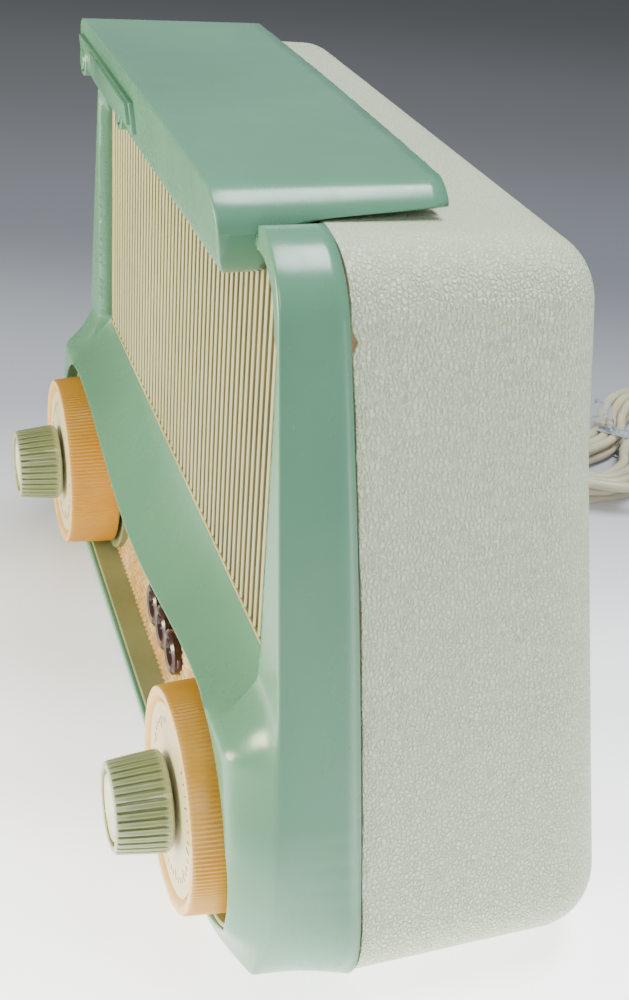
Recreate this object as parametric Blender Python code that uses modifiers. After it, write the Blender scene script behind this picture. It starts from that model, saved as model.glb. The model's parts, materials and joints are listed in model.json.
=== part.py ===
"""A mains table radio of the 1950s: green moulded front, covered case, two dials and a hinged handle.

Metres, +Z up, front towards -Y. The origin is on the table, below the middle of the set.
"""

import math

import bmesh
import bpy
from mathutils import Matrix, Vector

MM = 0.001
GAP = 0.3 * MM  # between pieces that touch

# Driving dimensions
KNOB_REACH = 17.5 * MM  # knobs in front of the dials' front plane
REAR_REACH, REAR_LEAN = 129 * MM, 17.5 * MM  # foot of the rear face behind that plane, and its top ahead of it
BASE_Z, TOP_Z = 1.5 * MM, 220.5 * MM  # underside and top of the case
COVER_DEEP, COVER_THICK, HEAD_PROUD = 0.3 * MM, 2 * MM, 0.6 * MM  # rear cover in its rebate, screw heads
SCREW_LOW_Z, SCREW_HIGH_Z = 37 * MM, 190 * MM
REAR_R, TAPER, SEAM_STEP = 22 * MM, 2.5 * MM, 1 * MM  # rear edge, narrowing to the rear, step at the seam
REAR_FOOT_Z = BASE_Z + SEAM_STEP + TAPER + REAR_R  # where the flat of the rear face begins
RIM_INSET, COVER_INSET = 32 * MM, 25.5 * MM


def rear_reach(z):
    """How far the case's rear face is behind the dials' front plane at this height."""
    return REAR_REACH - (z - BASE_Z) / (TOP_Z - BASE_Z) * REAR_LEAN


DIAL_Y = (KNOB_REACH - rear_reach(REAR_FOOT_Z)) / 2  # centres the whole depth
DIAL_X, DIAL_Z = 110.6 * MM, 44 * MM
DIAL_R, DIAL_BACK_R, DIAL_DEEP = 34 * MM, 35.2 * MM, 20 * MM
WIDE_AT_DIAL, SIDE_LEAN = 162.1 * MM, 0.204  # half width at the dials' height, and how fast it narrows
CORNER_LOW, CORNER_TOP = 26 * MM, 22 * MM
WALL, FRONT_WALL, BELLY_R = 3 * MM, 4.2 * MM, 14 * MM
LIP_LOW, LIP_HIGH = 27.5 * MM, 40 * MM  # the ledge's lip above the dials' axis: midway, and over the dials
DISH_R, CHIN_DROP = 40 * MM, 38.5 * MM  # the lower opening round the dials, and its floor below their axis
GRILLE_Z0, GRILLE_Z1, GRILLE_CORNER = 100 * MM, 214 * MM, 16 * MM
GRILLE_X, POST_TOP = 128 * MM, 5.2 * MM  # the opening's upright sides, and the post's least width
RAIL_X, RAIL_Z0, RAIL_Z1 = 96 * MM, 205 * MM, 217.5 * MM
HANDLE_X, HANDLE_Z0, HANDLE_Z1, HANDLE_FOOT = 106 * MM, 218.5 * MM, 229 * MM, 203 * MM
FLANGE_LEAN = 4.6 * MM  # the foot of the handle's front behind its top
HINGE_Z, HINGE_PIN_R = 223.8 * MM, 1 * MM
RIBS, RIBBED_W = 48, 250 * MM
SHAFT_R, TUBE_R = 3 * MM, 5 * MM
PINION_R, GEAR_R = 12 * MM, 18 * MM
GANG_X = DIAL_X - PINION_R - GEAR_R - GAP
SPEAKER_Z, DECK_Z, DECK_W = 150 * MM, 70 * MM, 256 * MM
CORD_R = 2.5 * MM
GLAND_X, GLAND_Z, GLAND_LONG = -84 * MM, 44 * MM, 24 * MM
HANK_X, HANK_BACK, HANK_TURN = -154 * MM, 293 * MM, -47
HANK_LONG, HANK_WIDE, HANK_TALL = 140 * MM, 50 * MM, 18 * MM
FAR = 300 * MM  # beyond every piece, for cutters


def deep(mm):
    """The Y of a place this many millimetres behind the dials' front plane."""
    return DIAL_Y + mm * MM


POST_Y, PANEL_Y, BELLY_Y, CHIN_Y = deep(20.5), deep(25), deep(8), deep(11.5)
HINGE_Y, HANDLE_BACK = deep(71.5), deep(73.5)

parts = None
cutters = None


# Tools

def clear():
    global parts, cutters
    for obj in list(bpy.data.objects):
        bpy.data.objects.remove(obj, do_unlink=True)
    parts = bpy.data.collections.new("table_radio")
    cutters = bpy.data.collections.new("cutters")
    for collection in (parts, cutters):
        bpy.context.scene.collection.children.link(collection)


def material(name, colour, roughness, metallic=0.0):
    made = bpy.data.materials.get(name)
    if made is None:
        made = bpy.data.materials.new(name)
        made.use_nodes = True
        shader = made.node_tree.nodes["Principled BSDF"]
        shader.inputs["Base Color"].default_value = (*colour, 1)
        shader.inputs["Roughness"].default_value = roughness
        shader.inputs["Metallic"].default_value = metallic
    return made


def green():
    return material("green_moulding", (0.25, 0.50, 0.38), 0.2)


def olive():
    return material("olive_moulding", (0.33, 0.33, 0.19), 0.5)


def steel():
    return material("plated_steel", (0.55, 0.54, 0.50), 0.35, 1.0)


def add(name, mesh, finish, collection=None, origin=(0, 0, 0)):
    """A new object from a mesh; origin is where its own axes sit."""
    mesh.transform(Matrix.Translation(-Vector(origin)))
    obj = bpy.data.objects.new(name, mesh)
    obj.location = origin
    (collection or parts).objects.link(obj)
    if finish:
        mesh.materials.append(finish)
    if collection is cutters:
        obj.hide_render = True
        obj.display_type = "WIRE"
    return obj


def mesh_of(bm, name="shape"):
    bmesh.ops.recalc_face_normals(bm, faces=bm.faces)
    mesh = bpy.data.meshes.new(name)
    bm.to_mesh(mesh)
    bm.free()
    return mesh


def box(name, low, high, finish, collection=None, origin=(0, 0, 0)):
    bm = bmesh.new()
    bmesh.ops.create_cube(bm, size=1)
    low, high = Vector(low), Vector(high)
    size = high - low
    bmesh.ops.scale(bm, vec=size, verts=bm.verts)
    bmesh.ops.translate(bm, vec=(low + high) / 2, verts=bm.verts)
    return add(name, mesh_of(bm), finish, collection, origin)


def cylinder(name, start, end, radius, finish, steps, collection=None, origin=(0, 0, 0)):
    """A round rod between two points."""
    start, end = Vector(start), Vector(end)
    turn = (end - start).to_track_quat("Z", "Y").to_matrix().to_4x4()
    place = Matrix.Translation((start + end) / 2) @ turn
    size = {"radius1": radius, "radius2": radius, "depth": (end - start).length}
    bm = bmesh.new()
    bmesh.ops.create_cone(bm, cap_ends=True, segments=steps, matrix=place, **size)
    return add(name, mesh_of(bm), finish, collection, origin)


def rod(name, centre, radius, y0, y1, finish, steps=24, collection=None):
    """A round rod along Y."""
    x, z = centre[0], centre[2]
    return cylinder(name, (x, y0, z), (x, y1, z), radius, finish, steps, collection, (x, 0, z))


def post(name, x, y, radius, z0, z1, finish, steps=16):
    """A round upright rod."""
    return cylinder(name, (x, y, z0), (x, y, z1), radius, finish, steps)


def baked(obj):
    """The object with its modifiers applied."""
    graph = bpy.context.evaluated_depsgraph_get()
    graph.update()
    mesh = bpy.data.meshes.new_from_object(obj.evaluated_get(graph))
    bm = bmesh.new()
    bm.from_mesh(mesh)
    bmesh.ops.remove_doubles(bm, verts=bm.verts, dist=1e-6)
    bm.to_mesh(mesh)
    bm.free()
    obj.modifiers.clear()
    obj.data = mesh
    return obj


def prism(name, outline, y0, y1, finish, collection=None, origin=(0, 0, 0)):
    """A flat outline of (x, z) points, filled and carried from y0 to y1."""
    curve = bpy.data.curves.new(name, "CURVE")
    curve.dimensions = "2D"
    curve.fill_mode = "BOTH"
    curve.extrude = (y1 - y0) / 2
    spline = curve.splines.new("POLY")
    spline.points.add(len(outline) - 1)
    for point, (x, z) in zip(spline.points, outline):
        point.co = (x, z, 0, 1)
    spline.use_cyclic_u = True
    drawn = bpy.data.objects.new(name + "_outline", curve)
    drawn.rotation_euler = (math.pi / 2, 0, 0)
    drawn.location = (0, (y0 + y1) / 2, 0)
    parts.objects.link(drawn)
    bpy.context.view_layer.update()
    graph = bpy.context.evaluated_depsgraph_get()
    mesh = bpy.data.meshes.new_from_object(drawn.evaluated_get(graph))
    mesh.transform(drawn.matrix_world)
    bpy.data.objects.remove(drawn, do_unlink=True)
    bm = bmesh.new()
    bm.from_mesh(mesh)
    bmesh.ops.remove_doubles(bm, verts=bm.verts, dist=1e-6)
    return add(name, mesh_of(bm), finish, collection, origin)


def turned(name, profile, centre, finish, steps=32, collection=None, up=False):
    """A closed profile of (radius, forward) points turned about a front-to-back axis, or an upright one."""
    bm = bmesh.new()
    ring = [bm.verts.new((radius, 0, along)) for radius, along in profile]
    for one, two in zip(ring, ring[1:] + ring[:1]):
        if one.co.x > 1e-7 or two.co.x > 1e-7:
            bm.edges.new((one, two))
    mesh = bpy.data.meshes.new(name)
    bm.to_mesh(mesh)
    bm.free()
    obj = add(name, mesh, finish, collection)
    screw = obj.modifiers.new("turn", "SCREW")
    screw.steps = screw.render_steps = steps
    screw.use_merge_vertices = True
    screw.merge_threshold = 1e-6
    baked(obj)
    obj.location = centre
    if not up:
        obj.rotation_euler = (math.pi / 2, 0, 0)
    bpy.context.view_layer.update()
    bm = bmesh.new()
    bm.from_mesh(obj.data)
    bmesh.ops.recalc_face_normals(bm, faces=bm.faces)
    bm.to_mesh(obj.data)
    bm.free()
    obj.data.shade_smooth()
    obj.data.set_sharp_from_angle(angle=math.radians(35))
    return obj


def combine(obj, other, operation="DIFFERENCE"):
    """Cuts or joins, and removes the other piece."""
    step = obj.modifiers.new("join", "BOOLEAN")
    step.operation = operation
    step.object = other
    step.solver = "EXACT"
    baked(obj)
    bpy.data.objects.remove(other, do_unlink=True)
    return obj


def loft(name, rings, finish, collection=None, closed=True, origin=(0, 0, 0)):
    """Skins equal rings of points; closed joins the last ring to the first, otherwise both ends are capped."""
    bm = bmesh.new()
    made = [[bm.verts.new(point) for point in ring] for ring in rings]
    count = len(made[0])
    pairs = list(zip(made, made[1:] + made[:1])) if closed else list(zip(made, made[1:]))
    for one, two in pairs:
        for i in range(count):
            j = (i + 1) % count
            bm.faces.new((one[i], one[j], two[j], two[i]))
    if not closed:
        bm.faces.new(made[0])
        bm.faces.new(made[-1])
    bmesh.ops.triangulate(bm, faces=bm.faces)
    return add(name, mesh_of(bm), finish, collection, origin)


# Shapes that several pieces share

def half_width(z):
    return WIDE_AT_DIAL - SIDE_LEAN * (z - DIAL_Z)


def arc(cx, cz, radius, start, end, steps):
    """Points on an arc, angles in degrees from +X towards +Z."""
    turn = [math.radians(start + (end - start) * i / steps) for i in range(steps + 1)]
    return [(cx + radius * math.cos(a), cz + radius * math.sin(a)) for a in turn]


def case_outline(inset, steps=5):
    """The rounded trapezoid that the case has from the front, moved inwards by inset, anticlockwise."""
    lean = math.degrees(math.atan(SIDE_LEAN))
    low_r = max(CORNER_LOW - inset, 2 * MM)
    top_r = max(CORNER_TOP - inset, 2 * MM)
    low_z, top_z = BASE_Z + inset + low_r, TOP_Z - inset - top_r
    slope = math.sqrt(1 + SIDE_LEAN**2)
    low_x = half_width(low_z) - (inset + low_r) * slope
    top_x = half_width(top_z) - (inset + top_r) * slope
    low, top = arc(low_x, low_z, low_r, -90, lean, steps), arc(top_x, top_z, top_r, lean, 90, steps)
    (x0, z0), (x1, z1) = low[-1], top[0]
    side = [(x0 + (x1 - x0) * i / 5, z0 + (z1 - z0) * i / 5) for i in range(1, 5)]
    right = low + side + top
    return right + [(-x, z) for x, z in reversed(right)]


def seam_y(z):
    """The joint between the front moulding and the case bends back towards the bottom."""
    return deep(45) - ((z - BASE_Z) / (TOP_Z - BASE_Z)) ** 2 * 7 * MM


def rear_y(z):
    return DIAL_Y + rear_reach(z)


def side_x(z):
    """The outline's half width at this height, with the lower corner's rounding."""
    drop = BASE_Z + CORNER_LOW - z
    if drop <= 0:
        return half_width(z)
    centre = half_width(BASE_Z + CORNER_LOW) - CORNER_LOW * math.sqrt(1 + SIDE_LEAN**2)
    return centre + math.sqrt(max(CORNER_LOW**2 - drop**2, 0))


def smooth(t):
    t = min(max(t, 0), 1)
    return t * t * (3 - 2 * t)


def lip_z(x):
    """The lip of the ledge dips between the dials."""
    middle, swing = (LIP_LOW + LIP_HIGH) / 2, (LIP_HIGH - LIP_LOW) / 2
    return DIAL_Z + middle - swing * math.cos(math.pi * min(abs(x) / DIAL_X, 1))


def front_y(x, z):
    """The front surface of the moulding: flat posts above, a rounded belly below and a hollow ledge between."""
    x = abs(x)
    edge = POST_Y - 1.5 * MM * smooth((DIAL_Z + 32 * MM - z) / (74 * MM))
    below = smooth((DIAL_Z - z) / (42 * MM))
    belly = BELLY_Y + (CHIN_Y - BELLY_Y) * below
    lip, top = lip_z(x), GRILLE_Z0
    if z > lip:
        frame = max(smooth((x - half_width(z) + 39 * MM) / (20 * MM)), smooth((z - 180 * MM) / (20 * MM)))
        back = PANEL_Y - (PANEL_Y - POST_Y) * frame
        rise = min((z - lip) / (top - lip), 1)
        belly = BELLY_Y + (back - BELLY_Y) * (1 - (1 - rise) ** 1.4)
        if z > top:
            belly = back
    inwards = min(max((side_x(z) - x) / BELLY_R, 0), 1)
    return edge + (belly - edge) * math.sin(math.pi / 2 * inwards) if belly < edge else belly


def front_block(name, offset, back, xs, finish=None, collection=None):
    """A block whose front is the moulding's front surface, moved back by offset."""
    low, above = -3 * MM, [z * MM for z in (106, 112, 130, 180, 200, 232)]
    rows = []
    for x in xs:
        lip = lip_z(x)
        zs = [low + (lip - low) * f for f in (0, 0.08, 0.2, 0.45, 0.7, 0.88, 1)]
        zs += [lip + (GRILLE_Z0 - lip) * f for f in (0.2, 0.5, 0.8, 1)] + above
        front = [(x, front_y(x, z) + offset, z) for z in zs]
        rear = [(x, back(z), z) for z in reversed(zs)]
        rows.append(front + rear)
    return loft(name, rows, finish, collection, closed=False)


def grille_outline(grow=0.0, steps=4):
    """The grille's opening: upright sides, which turn in with the case near the top."""
    low_r, top_r = 3 * MM, GRILLE_CORNER
    low, top = GRILLE_Z0 - grow, GRILLE_Z1 + grow
    turn_z = DIAL_Z + (WIDE_AT_DIAL - POST_TOP - GRILLE_X) / SIDE_LEAN
    lean = math.degrees(math.atan(SIDE_LEAN))
    right = arc(GRILLE_X + grow - low_r, low + low_r, low_r, -90, 0, steps) + [(GRILLE_X + grow, turn_z)]
    top_x = half_width(top - top_r) - POST_TOP + grow - top_r
    right += arc(top_x, top - top_r, top_r, lean, 90, steps)
    return right + [(-x, z) for x, z in reversed(right)]


def window_outline(grow=0.0, steps=10):
    """The lower opening: a circle about each dial, joined by the window under the ledge's lip."""
    floor = DIAL_Z - CHIN_DROP - grow
    radius = DISH_R + grow
    start = -math.degrees(math.asin(min((DIAL_Z - floor) / radius, 1)))
    right = arc(DIAL_X, DIAL_Z, radius, start, 90, steps)
    lip = [(DIAL_X * (1 - i / 6), lip_z(DIAL_X * (1 - i / 6)) + grow) for i in range(1, 6)]
    half = right + lip
    return half + [(0, lip_z(0) + grow)] + [(-x, z) for x, z in reversed(half)]


# Front

def front_frame():
    xs = [k * MM for k in (0, 30, 60, 85, 100, 112, 122, 131, 139, 147, 154, 160, 165, 175)]
    xs = [-x for x in reversed(xs[1:])] + xs
    body = front_block("front_frame", 0, lambda z: seam_y(z) - GAP, xs, green())
    combine(body, prism("outer", case_outline(0), deep(-5), deep(60), None, cutters), "INTERSECT")
    hollow = front_block("hollow", FRONT_WALL, lambda z: deep(70), xs[::2], None, cutters)
    inner = prism("inner", case_outline(WALL), deep(0), deep(80), None, cutters)
    combine(body, combine(hollow, inner, "INTERSECT"))
    for outline, name in ((window_outline(), "window"), (grille_outline(), "grille_hole")):
        combine(body, prism(name, outline, deep(-10), deep(80), None, cutters))
    notch_x = HANDLE_X + 1.5 * MM
    low, high = (-notch_x, deep(0), RAIL_Z1), (notch_x, deep(60), TOP_Z + 5 * MM)
    combine(body, box("handle_notch", low, high, None, cutters))
    low, high = (-RAIL_X, deep(16.5), RAIL_Z0), (RAIL_X, deep(37.6), RAIL_Z1 - 0.1 * MM)
    combine(body, box("rail", low, high, None, cutters), "UNION")
    for side in (-1, 1):
        near, far = sorted((side * (RAIL_X - 4 * MM), side * (notch_x + 7 * MM)))
        low, high = (near, deep(31), RAIL_Z0 + 2 * MM), (far, deep(37.2), RAIL_Z1 - 0.3 * MM)
        combine(body, box("web", low, high, None, cutters), "UNION")
        near, far = sorted((side * (notch_x + 0.4 * MM), side * (notch_x + 6 * MM)))
        low, high = (near, deep(30), RAIL_Z1 - 5 * MM), (far, deep(36.8), TOP_Z - 1.5 * MM)
        combine(body, box("tongue", low, high, None, cutters), "UNION")
    return body


def grille_panel():
    """A comb-shaped section, carried upwards and cut to the inside of the front moulding."""
    reach, back, groove, crest = 150 * MM, deep(29.8), deep(28.2), PANEL_Y
    pitch = RIBBED_W / RIBS
    section = [(-reach, groove), (-reach, back), (reach, back), (reach, groove)]
    for i in reversed(range(RIBS)):
        middle = -RIBBED_W / 2 + (i + 0.5) * pitch
        section += [(middle + 0.36 * pitch, groove), (middle + 0.24 * pitch, crest)]
        section += [(middle - 0.24 * pitch, crest), (middle - 0.36 * pitch, groove)]
    finish = material("cream_moulding", (0.72, 0.70, 0.52), 0.4)
    low, high = GRILLE_Z0 + GAP, GRILLE_Z1 + 2.5 * MM
    rings = [[(x, y, z) for x, y in section] for z in (low, high)]
    panel = loft("grille_panel", rings, finish, closed=False)
    inside = prism("inside", case_outline(WALL + GAP), deep(0), deep(60), None, cutters)
    rail_x = RAIL_X + GAP
    rail = box("rail_room", (-rail_x, deep(-10), RAIL_Z0 - GAP), (rail_x, deep(70), FAR), None, cutters)
    return combine(panel, combine(inside, rail), "INTERSECT")


def window_surround():
    """The olive lining of the lower opening, with a floor behind each dial."""
    lining = prism("window_surround", window_outline(-GAP), deep(13.5), deep(24), olive())
    room = window_outline(-1.6 * MM)
    combine(lining, prism("window_room", room, deep(10), deep(30), None, cutters))
    for side in (-1, 1):
        circle = arc(side * DIAL_X, DIAL_Z, DISH_R - 0.8 * MM, 0, 337.5, 15)
        floor = prism("floor", circle, deep(21.5), deep(23.4), None, cutters)
        low, high = sorted((side * 84 * MM, side * 160 * MM))
        ends = box("ends", (low, deep(0), 4.9 * MM), (high, deep(60), 100 * MM), None, cutters)
        combine(lining, combine(floor, ends, "INTERSECT"), "UNION")
        centre = (side * DIAL_X, 0, DIAL_Z)
        combine(lining, rod("bush_hole", centre, 9 * MM, deep(15), deep(30), None, 24, cutters))
    return lining


def speaker_cloth():
    finish = material("gold_weave", (0.60, 0.42, 0.20), 0.8)
    room = 99 * MM
    return box("cloth_panel", (-room, deep(24.5), 5.2 * MM), (room, deep(29.6), 89 * MM), finish)


def front_ornament():
    """Three joined rings on a bar."""
    z, y0, y1 = DIAL_Z - 14 * MM, deep(21.6), deep(24.2)
    finish = material("brown", (0.06, 0.03, 0.02), 0.2)
    ornament = box("front_ornament", (-24 * MM, y0, z - 2 * MM), (24 * MM, y1, z + 2 * MM), finish)
    for x in (-16, 0, 16):
        ring = rod("ring", (x * MM, 0, z), 8 * MM, y0 + 0.4 * MM, y1 - 0.1 * MM, None, 20, cutters)
        combine(ring, rod("eye", (x * MM, 0, z), 4.5 * MM, y0 - 2 * MM, y1 + 2 * MM, None, 16, cutters))
        combine(ornament, ring, "UNION")
    return ornament


def baffle_board():
    outline = case_outline(WALL + 3.5 * MM, 4)
    finish = material("board", (0.35, 0.24, 0.13), 0.8)
    board = prism("baffle_board", outline, deep(30.2), deep(35.2), finish)
    low, high = (-FAR, deep(0), RAIL_Z0 - 1 * MM), (FAR, deep(90), FAR)
    combine(board, box("rail_room", low, high, None, cutters))
    combine(board, rod("speaker_hole", (0, 0, SPEAKER_Z), 47 * MM, deep(20), deep(50), None, 32, cutters))
    for side in (-1, 1):
        centre = (side * DIAL_X, 0, DIAL_Z)
        combine(board, rod("bush_hole", centre, 9 * MM, deep(20), deep(50), None, 24, cutters))
    return board


# Handle

def leaned(obj, origin_z):
    """Moves each point back by the lean of the handle's front at its height."""
    for vertex in obj.data.vertices:
        below_top = HANDLE_Z1 - vertex.co.z - origin_z
        vertex.co.y += below_top / (HANDLE_Z1 - HANDLE_FOOT) * FLANGE_LEAN


def handle():
    """A shallow shell over the top: side flanges, and a front flange that covers the top rail."""
    radius, thick = 7 * MM, 2.6 * MM
    x, z = HANDLE_X, HANDLE_Z1
    outer = arc(x - radius, z - radius, radius, 0, 90, 5)
    outer = [(-x, HANDLE_Z0), (x, HANDLE_Z0)] + outer + [(-px, pz) for px, pz in reversed(outer)]
    shell = prism("handle", outer, deep(11.2), HANDLE_BACK, green(), origin=(0, HINGE_Y, HINGE_Z))
    x, z, radius = x - thick, z - thick, radius - thick
    room = arc(x - radius, z - radius, radius, 0, 90, 4)
    room = [(-x, 190 * MM), (x, 190 * MM)] + room + [(-px, pz) for px, pz in reversed(room)]
    combine(shell, prism("room", room, deep(13), deep(90), None, cutters))
    low, high = (-FAR, deep(36.6), 190 * MM), (FAR, deep(90), HANDLE_Z0 + 3.1 * MM)
    combine(shell, box("over_case", low, high, None, cutters))
    face = arc(90 * MM, HANDLE_FOOT + 6 * MM, 6 * MM, -90, -20, 4)
    face += [(103.5 * MM, HANDLE_Z0 + 1 * MM), (103.5 * MM, HANDLE_Z1 - 4 * MM)]
    face += [(-px, pz) for px, pz in reversed(face)]
    flange = prism("flange", face, deep(9), deep(11.4), None, cutters)
    leaned(flange, 0)
    combine(shell, flange, "UNION")
    low = (-84 * MM, HANDLE_BACK - 1.7 * MM, HINGE_Z - 2.5 * MM)
    high = (84 * MM, HANDLE_BACK - 0.1 * MM, HANDLE_Z1 - 1.5 * MM)
    combine(shell, box("rear_lip", low, high, None, cutters), "UNION")
    for side in (-1, 1):
        combine(shell, pin_rod("pin_hole", side, HINGE_PIN_R + GAP, 95 * MM, 104.6 * MM, None, cutters))
    return shell


def pin_rod(name, side, radius, x0, x1, finish, collection=None):
    """A rod on the handle's hinge axis."""
    start, end = (side * x0, HINGE_Y, HINGE_Z), (side * x1, HINGE_Y, HINGE_Z)
    return cylinder(name, start, end, radius, finish, 16, collection, (0, HINGE_Y, HINGE_Z))


def handle_hinges():
    for side, word in ((-1, "left"), (1, "right")):
        x0, x1 = sorted((side * 92 * MM, side * 97 * MM))
        low, high = (x0, HINGE_Y - 2 * MM, TOP_Z + GAP), (x1, HINGE_Y + 2 * MM, HINGE_Z + 0.1 * MM)
        bracket = box(f"handle_bracket_{word}", low, high, steel())
        combine(bracket, pin_rod("eye", side, 2.3 * MM, 92.2 * MM, 96.8 * MM, None, cutters), "UNION")
        combine(bracket, pin_rod("hole", side, HINGE_PIN_R + GAP, 80 * MM, 110 * MM, None, cutters))
        pin_rod(f"handle_pin_{word}", side, HINGE_PIN_R, 91.5 * MM, 104.3 * MM, steel())


def handle_plaque():
    """A raised strip with a round boss at each end, on the left half of the handle's front."""
    y, z = deep(8.4) - 1.5 * MM, 211 * MM
    low, high = (-99 * MM, y, z), (-3 * MM, y + 1.8 * MM, z + 10 * MM)
    plaque = box("handle_plaque", low, high, green(), origin=(0, HINGE_Y, HINGE_Z))
    for x in (-92, -21):
        centre = (x * MM, 0, z + 3.5 * MM)
        boss = rod("boss", centre, 5.5 * MM, y - 0.6 * MM, y + 1.6 * MM, None, 20, cutters)
        combine(plaque, boss, "UNION")
    leaned(plaque, HINGE_Z)
    return plaque


# Case

def shell_rings(out, into):
    """Rings of a tube from the seam to the rear rim and back inside; out and into are depths under the surface."""
    def ring(under, along, turn=0.0, rim=None):
        radius = REAR_R - under
        inset = SEAM_STEP + under + TAPER * along + radius * (1 - math.cos(turn))
        made = []
        for x, z in case_outline(inset if rim is None else rim):
            front = seam_y(z)
            rear = rear_y(z) - under - radius
            y = front + (rear - front) * along + radius * math.sin(turn)
            made.append((x, y, z))
        return made
    rings = []
    for under, inside in ((out, False), (into, True)):
        side = [ring(under, 0), ring(under, 1)]
        side += [ring(under, 1, math.radians(a)) for a in (30, 60, 90)]
        side.append(ring(under, 1, math.pi / 2, RIM_INSET))
        rings += reversed(side) if inside else side
    return rings


def screw_places():
    """Four places on the flat rim of the rear face, near its corners."""
    for z in (SCREW_LOW_Z, SCREW_HIGH_Z):
        for side in (-1, 1):
            yield side * (half_width(z) - 30 * MM), z


def rear_layer(name, inset, low, high, finish, collection=None):
    """A flat layer over the rear face, between two heights above it."""
    outline = case_outline(inset)
    rings = [[(x, rear_y(z) + proud, z) for x, z in outline] for proud in (low, high)]
    return loft(name, rings, finish, collection, closed=False)


def screw_hole(x, z):
    return rod("screw_hole", (x, 0, z), 2 * MM, deep(90), deep(150), None, 12, cutters)


def case():
    leathercloth, plywood = (0.55, 0.58, 0.48), (0.45, 0.30, 0.16)
    skin = loft("case_covering", shell_rings(0, 0.9 * MM), material("covering", leathercloth, 0.6))
    body = loft("case_body", shell_rings(1.2 * MM, 7 * MM), material("plywood", plywood, 0.7))
    depth = COVER_DEEP + COVER_THICK + GAP
    for piece in (skin, body):
        combine(piece, rear_layer("rebate", COVER_INSET - GAP, -depth, 5 * MM, None, cutters))
    for x, z in screw_places():
        combine(body, screw_hole(x, z))
    return body


def rear_cover():
    finish = material("fibreboard", (0.20, 0.12, 0.06), 0.8)
    cover = rear_layer("rear_cover", COVER_INSET, -COVER_DEEP - COVER_THICK, -COVER_DEEP, finish)
    for x, z in screw_places():
        combine(cover, screw_hole(x, z))
    for row in range(6):
        for column in (-1, 0, 1):
            x, z = column * 62 * MM, (70 + row * 19) * MM
            low, high = (x - 22 * MM, deep(90), z - 2.2 * MM), (x + 22 * MM, deep(150), z + 2.2 * MM)
            combine(cover, box("slot", low, high, None, cutters))
    for i, (x, z) in enumerate(screw_places(), 1):
        face = rear_y(z) - COVER_DEEP
        screw = rod(f"rear_cover_screw_{i}", (x, 0, z), 1.6 * MM, face - 6 * MM, face + 1 * MM, steel(), 12)
        top = face + COVER_DEEP + HEAD_PROUD
        head = rod("head", (x, 0, z), 3.4 * MM, face + 0.5 * MM, top, None, 12, cutters)
        combine(screw, head, "UNION")
    return cover


def feet():
    places = [(x * MM, deep(y)) for x in (-92, 92) for y in (52, 98)]
    felt = material("felt", (0.10, 0.08, 0.06), 0.95)
    for i, (x, y) in enumerate(places, 1):
        post(f"foot_{i}", x, y, 7 * MM, 0, BASE_Z + SEAM_STEP - GAP, felt)


# Dials, knobs and their shafts

def dial(name, side):
    """A deep-rimmed disc with a dished front and a hub on its tube."""
    back, bore, hub, web = -DIAL_DEEP, TUBE_R + GAP, 8.5 * MM, -5 * MM
    profile = [(bore, -2.5 * MM), (29.5 * MM, -2.5 * MM), (31.8 * MM, 0), (DIAL_R, 0), (DIAL_BACK_R, back)]
    profile += [(32.2 * MM, back), (31.5 * MM, web), (hub, web), (hub, -9 * MM), (bore, -9 * MM)]
    centre = (side * DIAL_X, DIAL_Y, DIAL_Z)
    turned(name, profile, centre, material("amber", (0.80, 0.50, 0.25), 0.3), 32)
    face = [(17 * MM, -1.4 * MM), (29 * MM, -1.4 * MM), (29 * MM, -2.2 * MM), (17 * MM, -2.2 * MM)]
    turned(name + "_face", face, centre, material("ivory", (0.85, 0.80, 0.62), 0.4), 32)


def knob(name, side):
    """A tapered fluted knob with a blind bore behind and a recess for its cap in front."""
    flutes, centre = 16, (side * DIAL_X, DIAL_Y, DIAL_Z)

    def ring(radius, forward, cut=0.0):
        made = []
        for i in range(flutes * 2):
            turn = math.pi * i / flutes
            r = radius - (cut if i % 2 else 0)
            made.append((centre[0] + r * math.cos(turn), DIAL_Y - forward, DIAL_Z + r * math.sin(turn)))
        return made
    groove = 0.7 * MM
    rings = [ring(SHAFT_R + GAP, 13 * MM), ring(SHAFT_R + GAP, 2 * MM), ring(15.3 * MM, 2 * MM, groove)]
    rings += [ring(13.7 * MM, 16.8 * MM, groove), ring(12.6 * MM, KNOB_REACH), ring(11.6 * MM, KNOB_REACH)]
    rings += [ring(11.2 * MM, 15.8 * MM)]
    made = loft(name, rings, material("sage", (0.42, 0.46, 0.30), 0.4), closed=False, origin=centre)
    cap = ((0, 16.9), (9.5, 16.9), (10.7, 16.4), (10.7, 16.1), (0, 16.1))
    cap = [(radius * MM, forward * MM) for radius, forward in cap]
    turned(name + "_cap", cap, centre, material("brass", (0.75, 0.60, 0.30), 0.3, 1.0), 24)
    return made


def tube(name, side, front, back):
    profile = [(SHAFT_R + GAP, -front), (TUBE_R, -front), (TUBE_R, -back), (SHAFT_R + GAP, -back)]
    return turned(name, profile, (side * DIAL_X, DIAL_Y, DIAL_Z), steel(), 20)


def bush(name, side):
    """The threaded bush that carries a tube in the chassis front."""
    bore, thread, nut = TUBE_R + GAP, 8 * MM, 10.5 * MM
    front, shoulder, back = -17 * MM, -38.6 * MM, -41.5 * MM
    profile = [(bore, front), (thread, front), (thread, shoulder), (nut, shoulder), (nut, back), (bore, back)]
    return turned(name, profile, (side * DIAL_X, DIAL_Y, DIAL_Z), steel(), 20)


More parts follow.
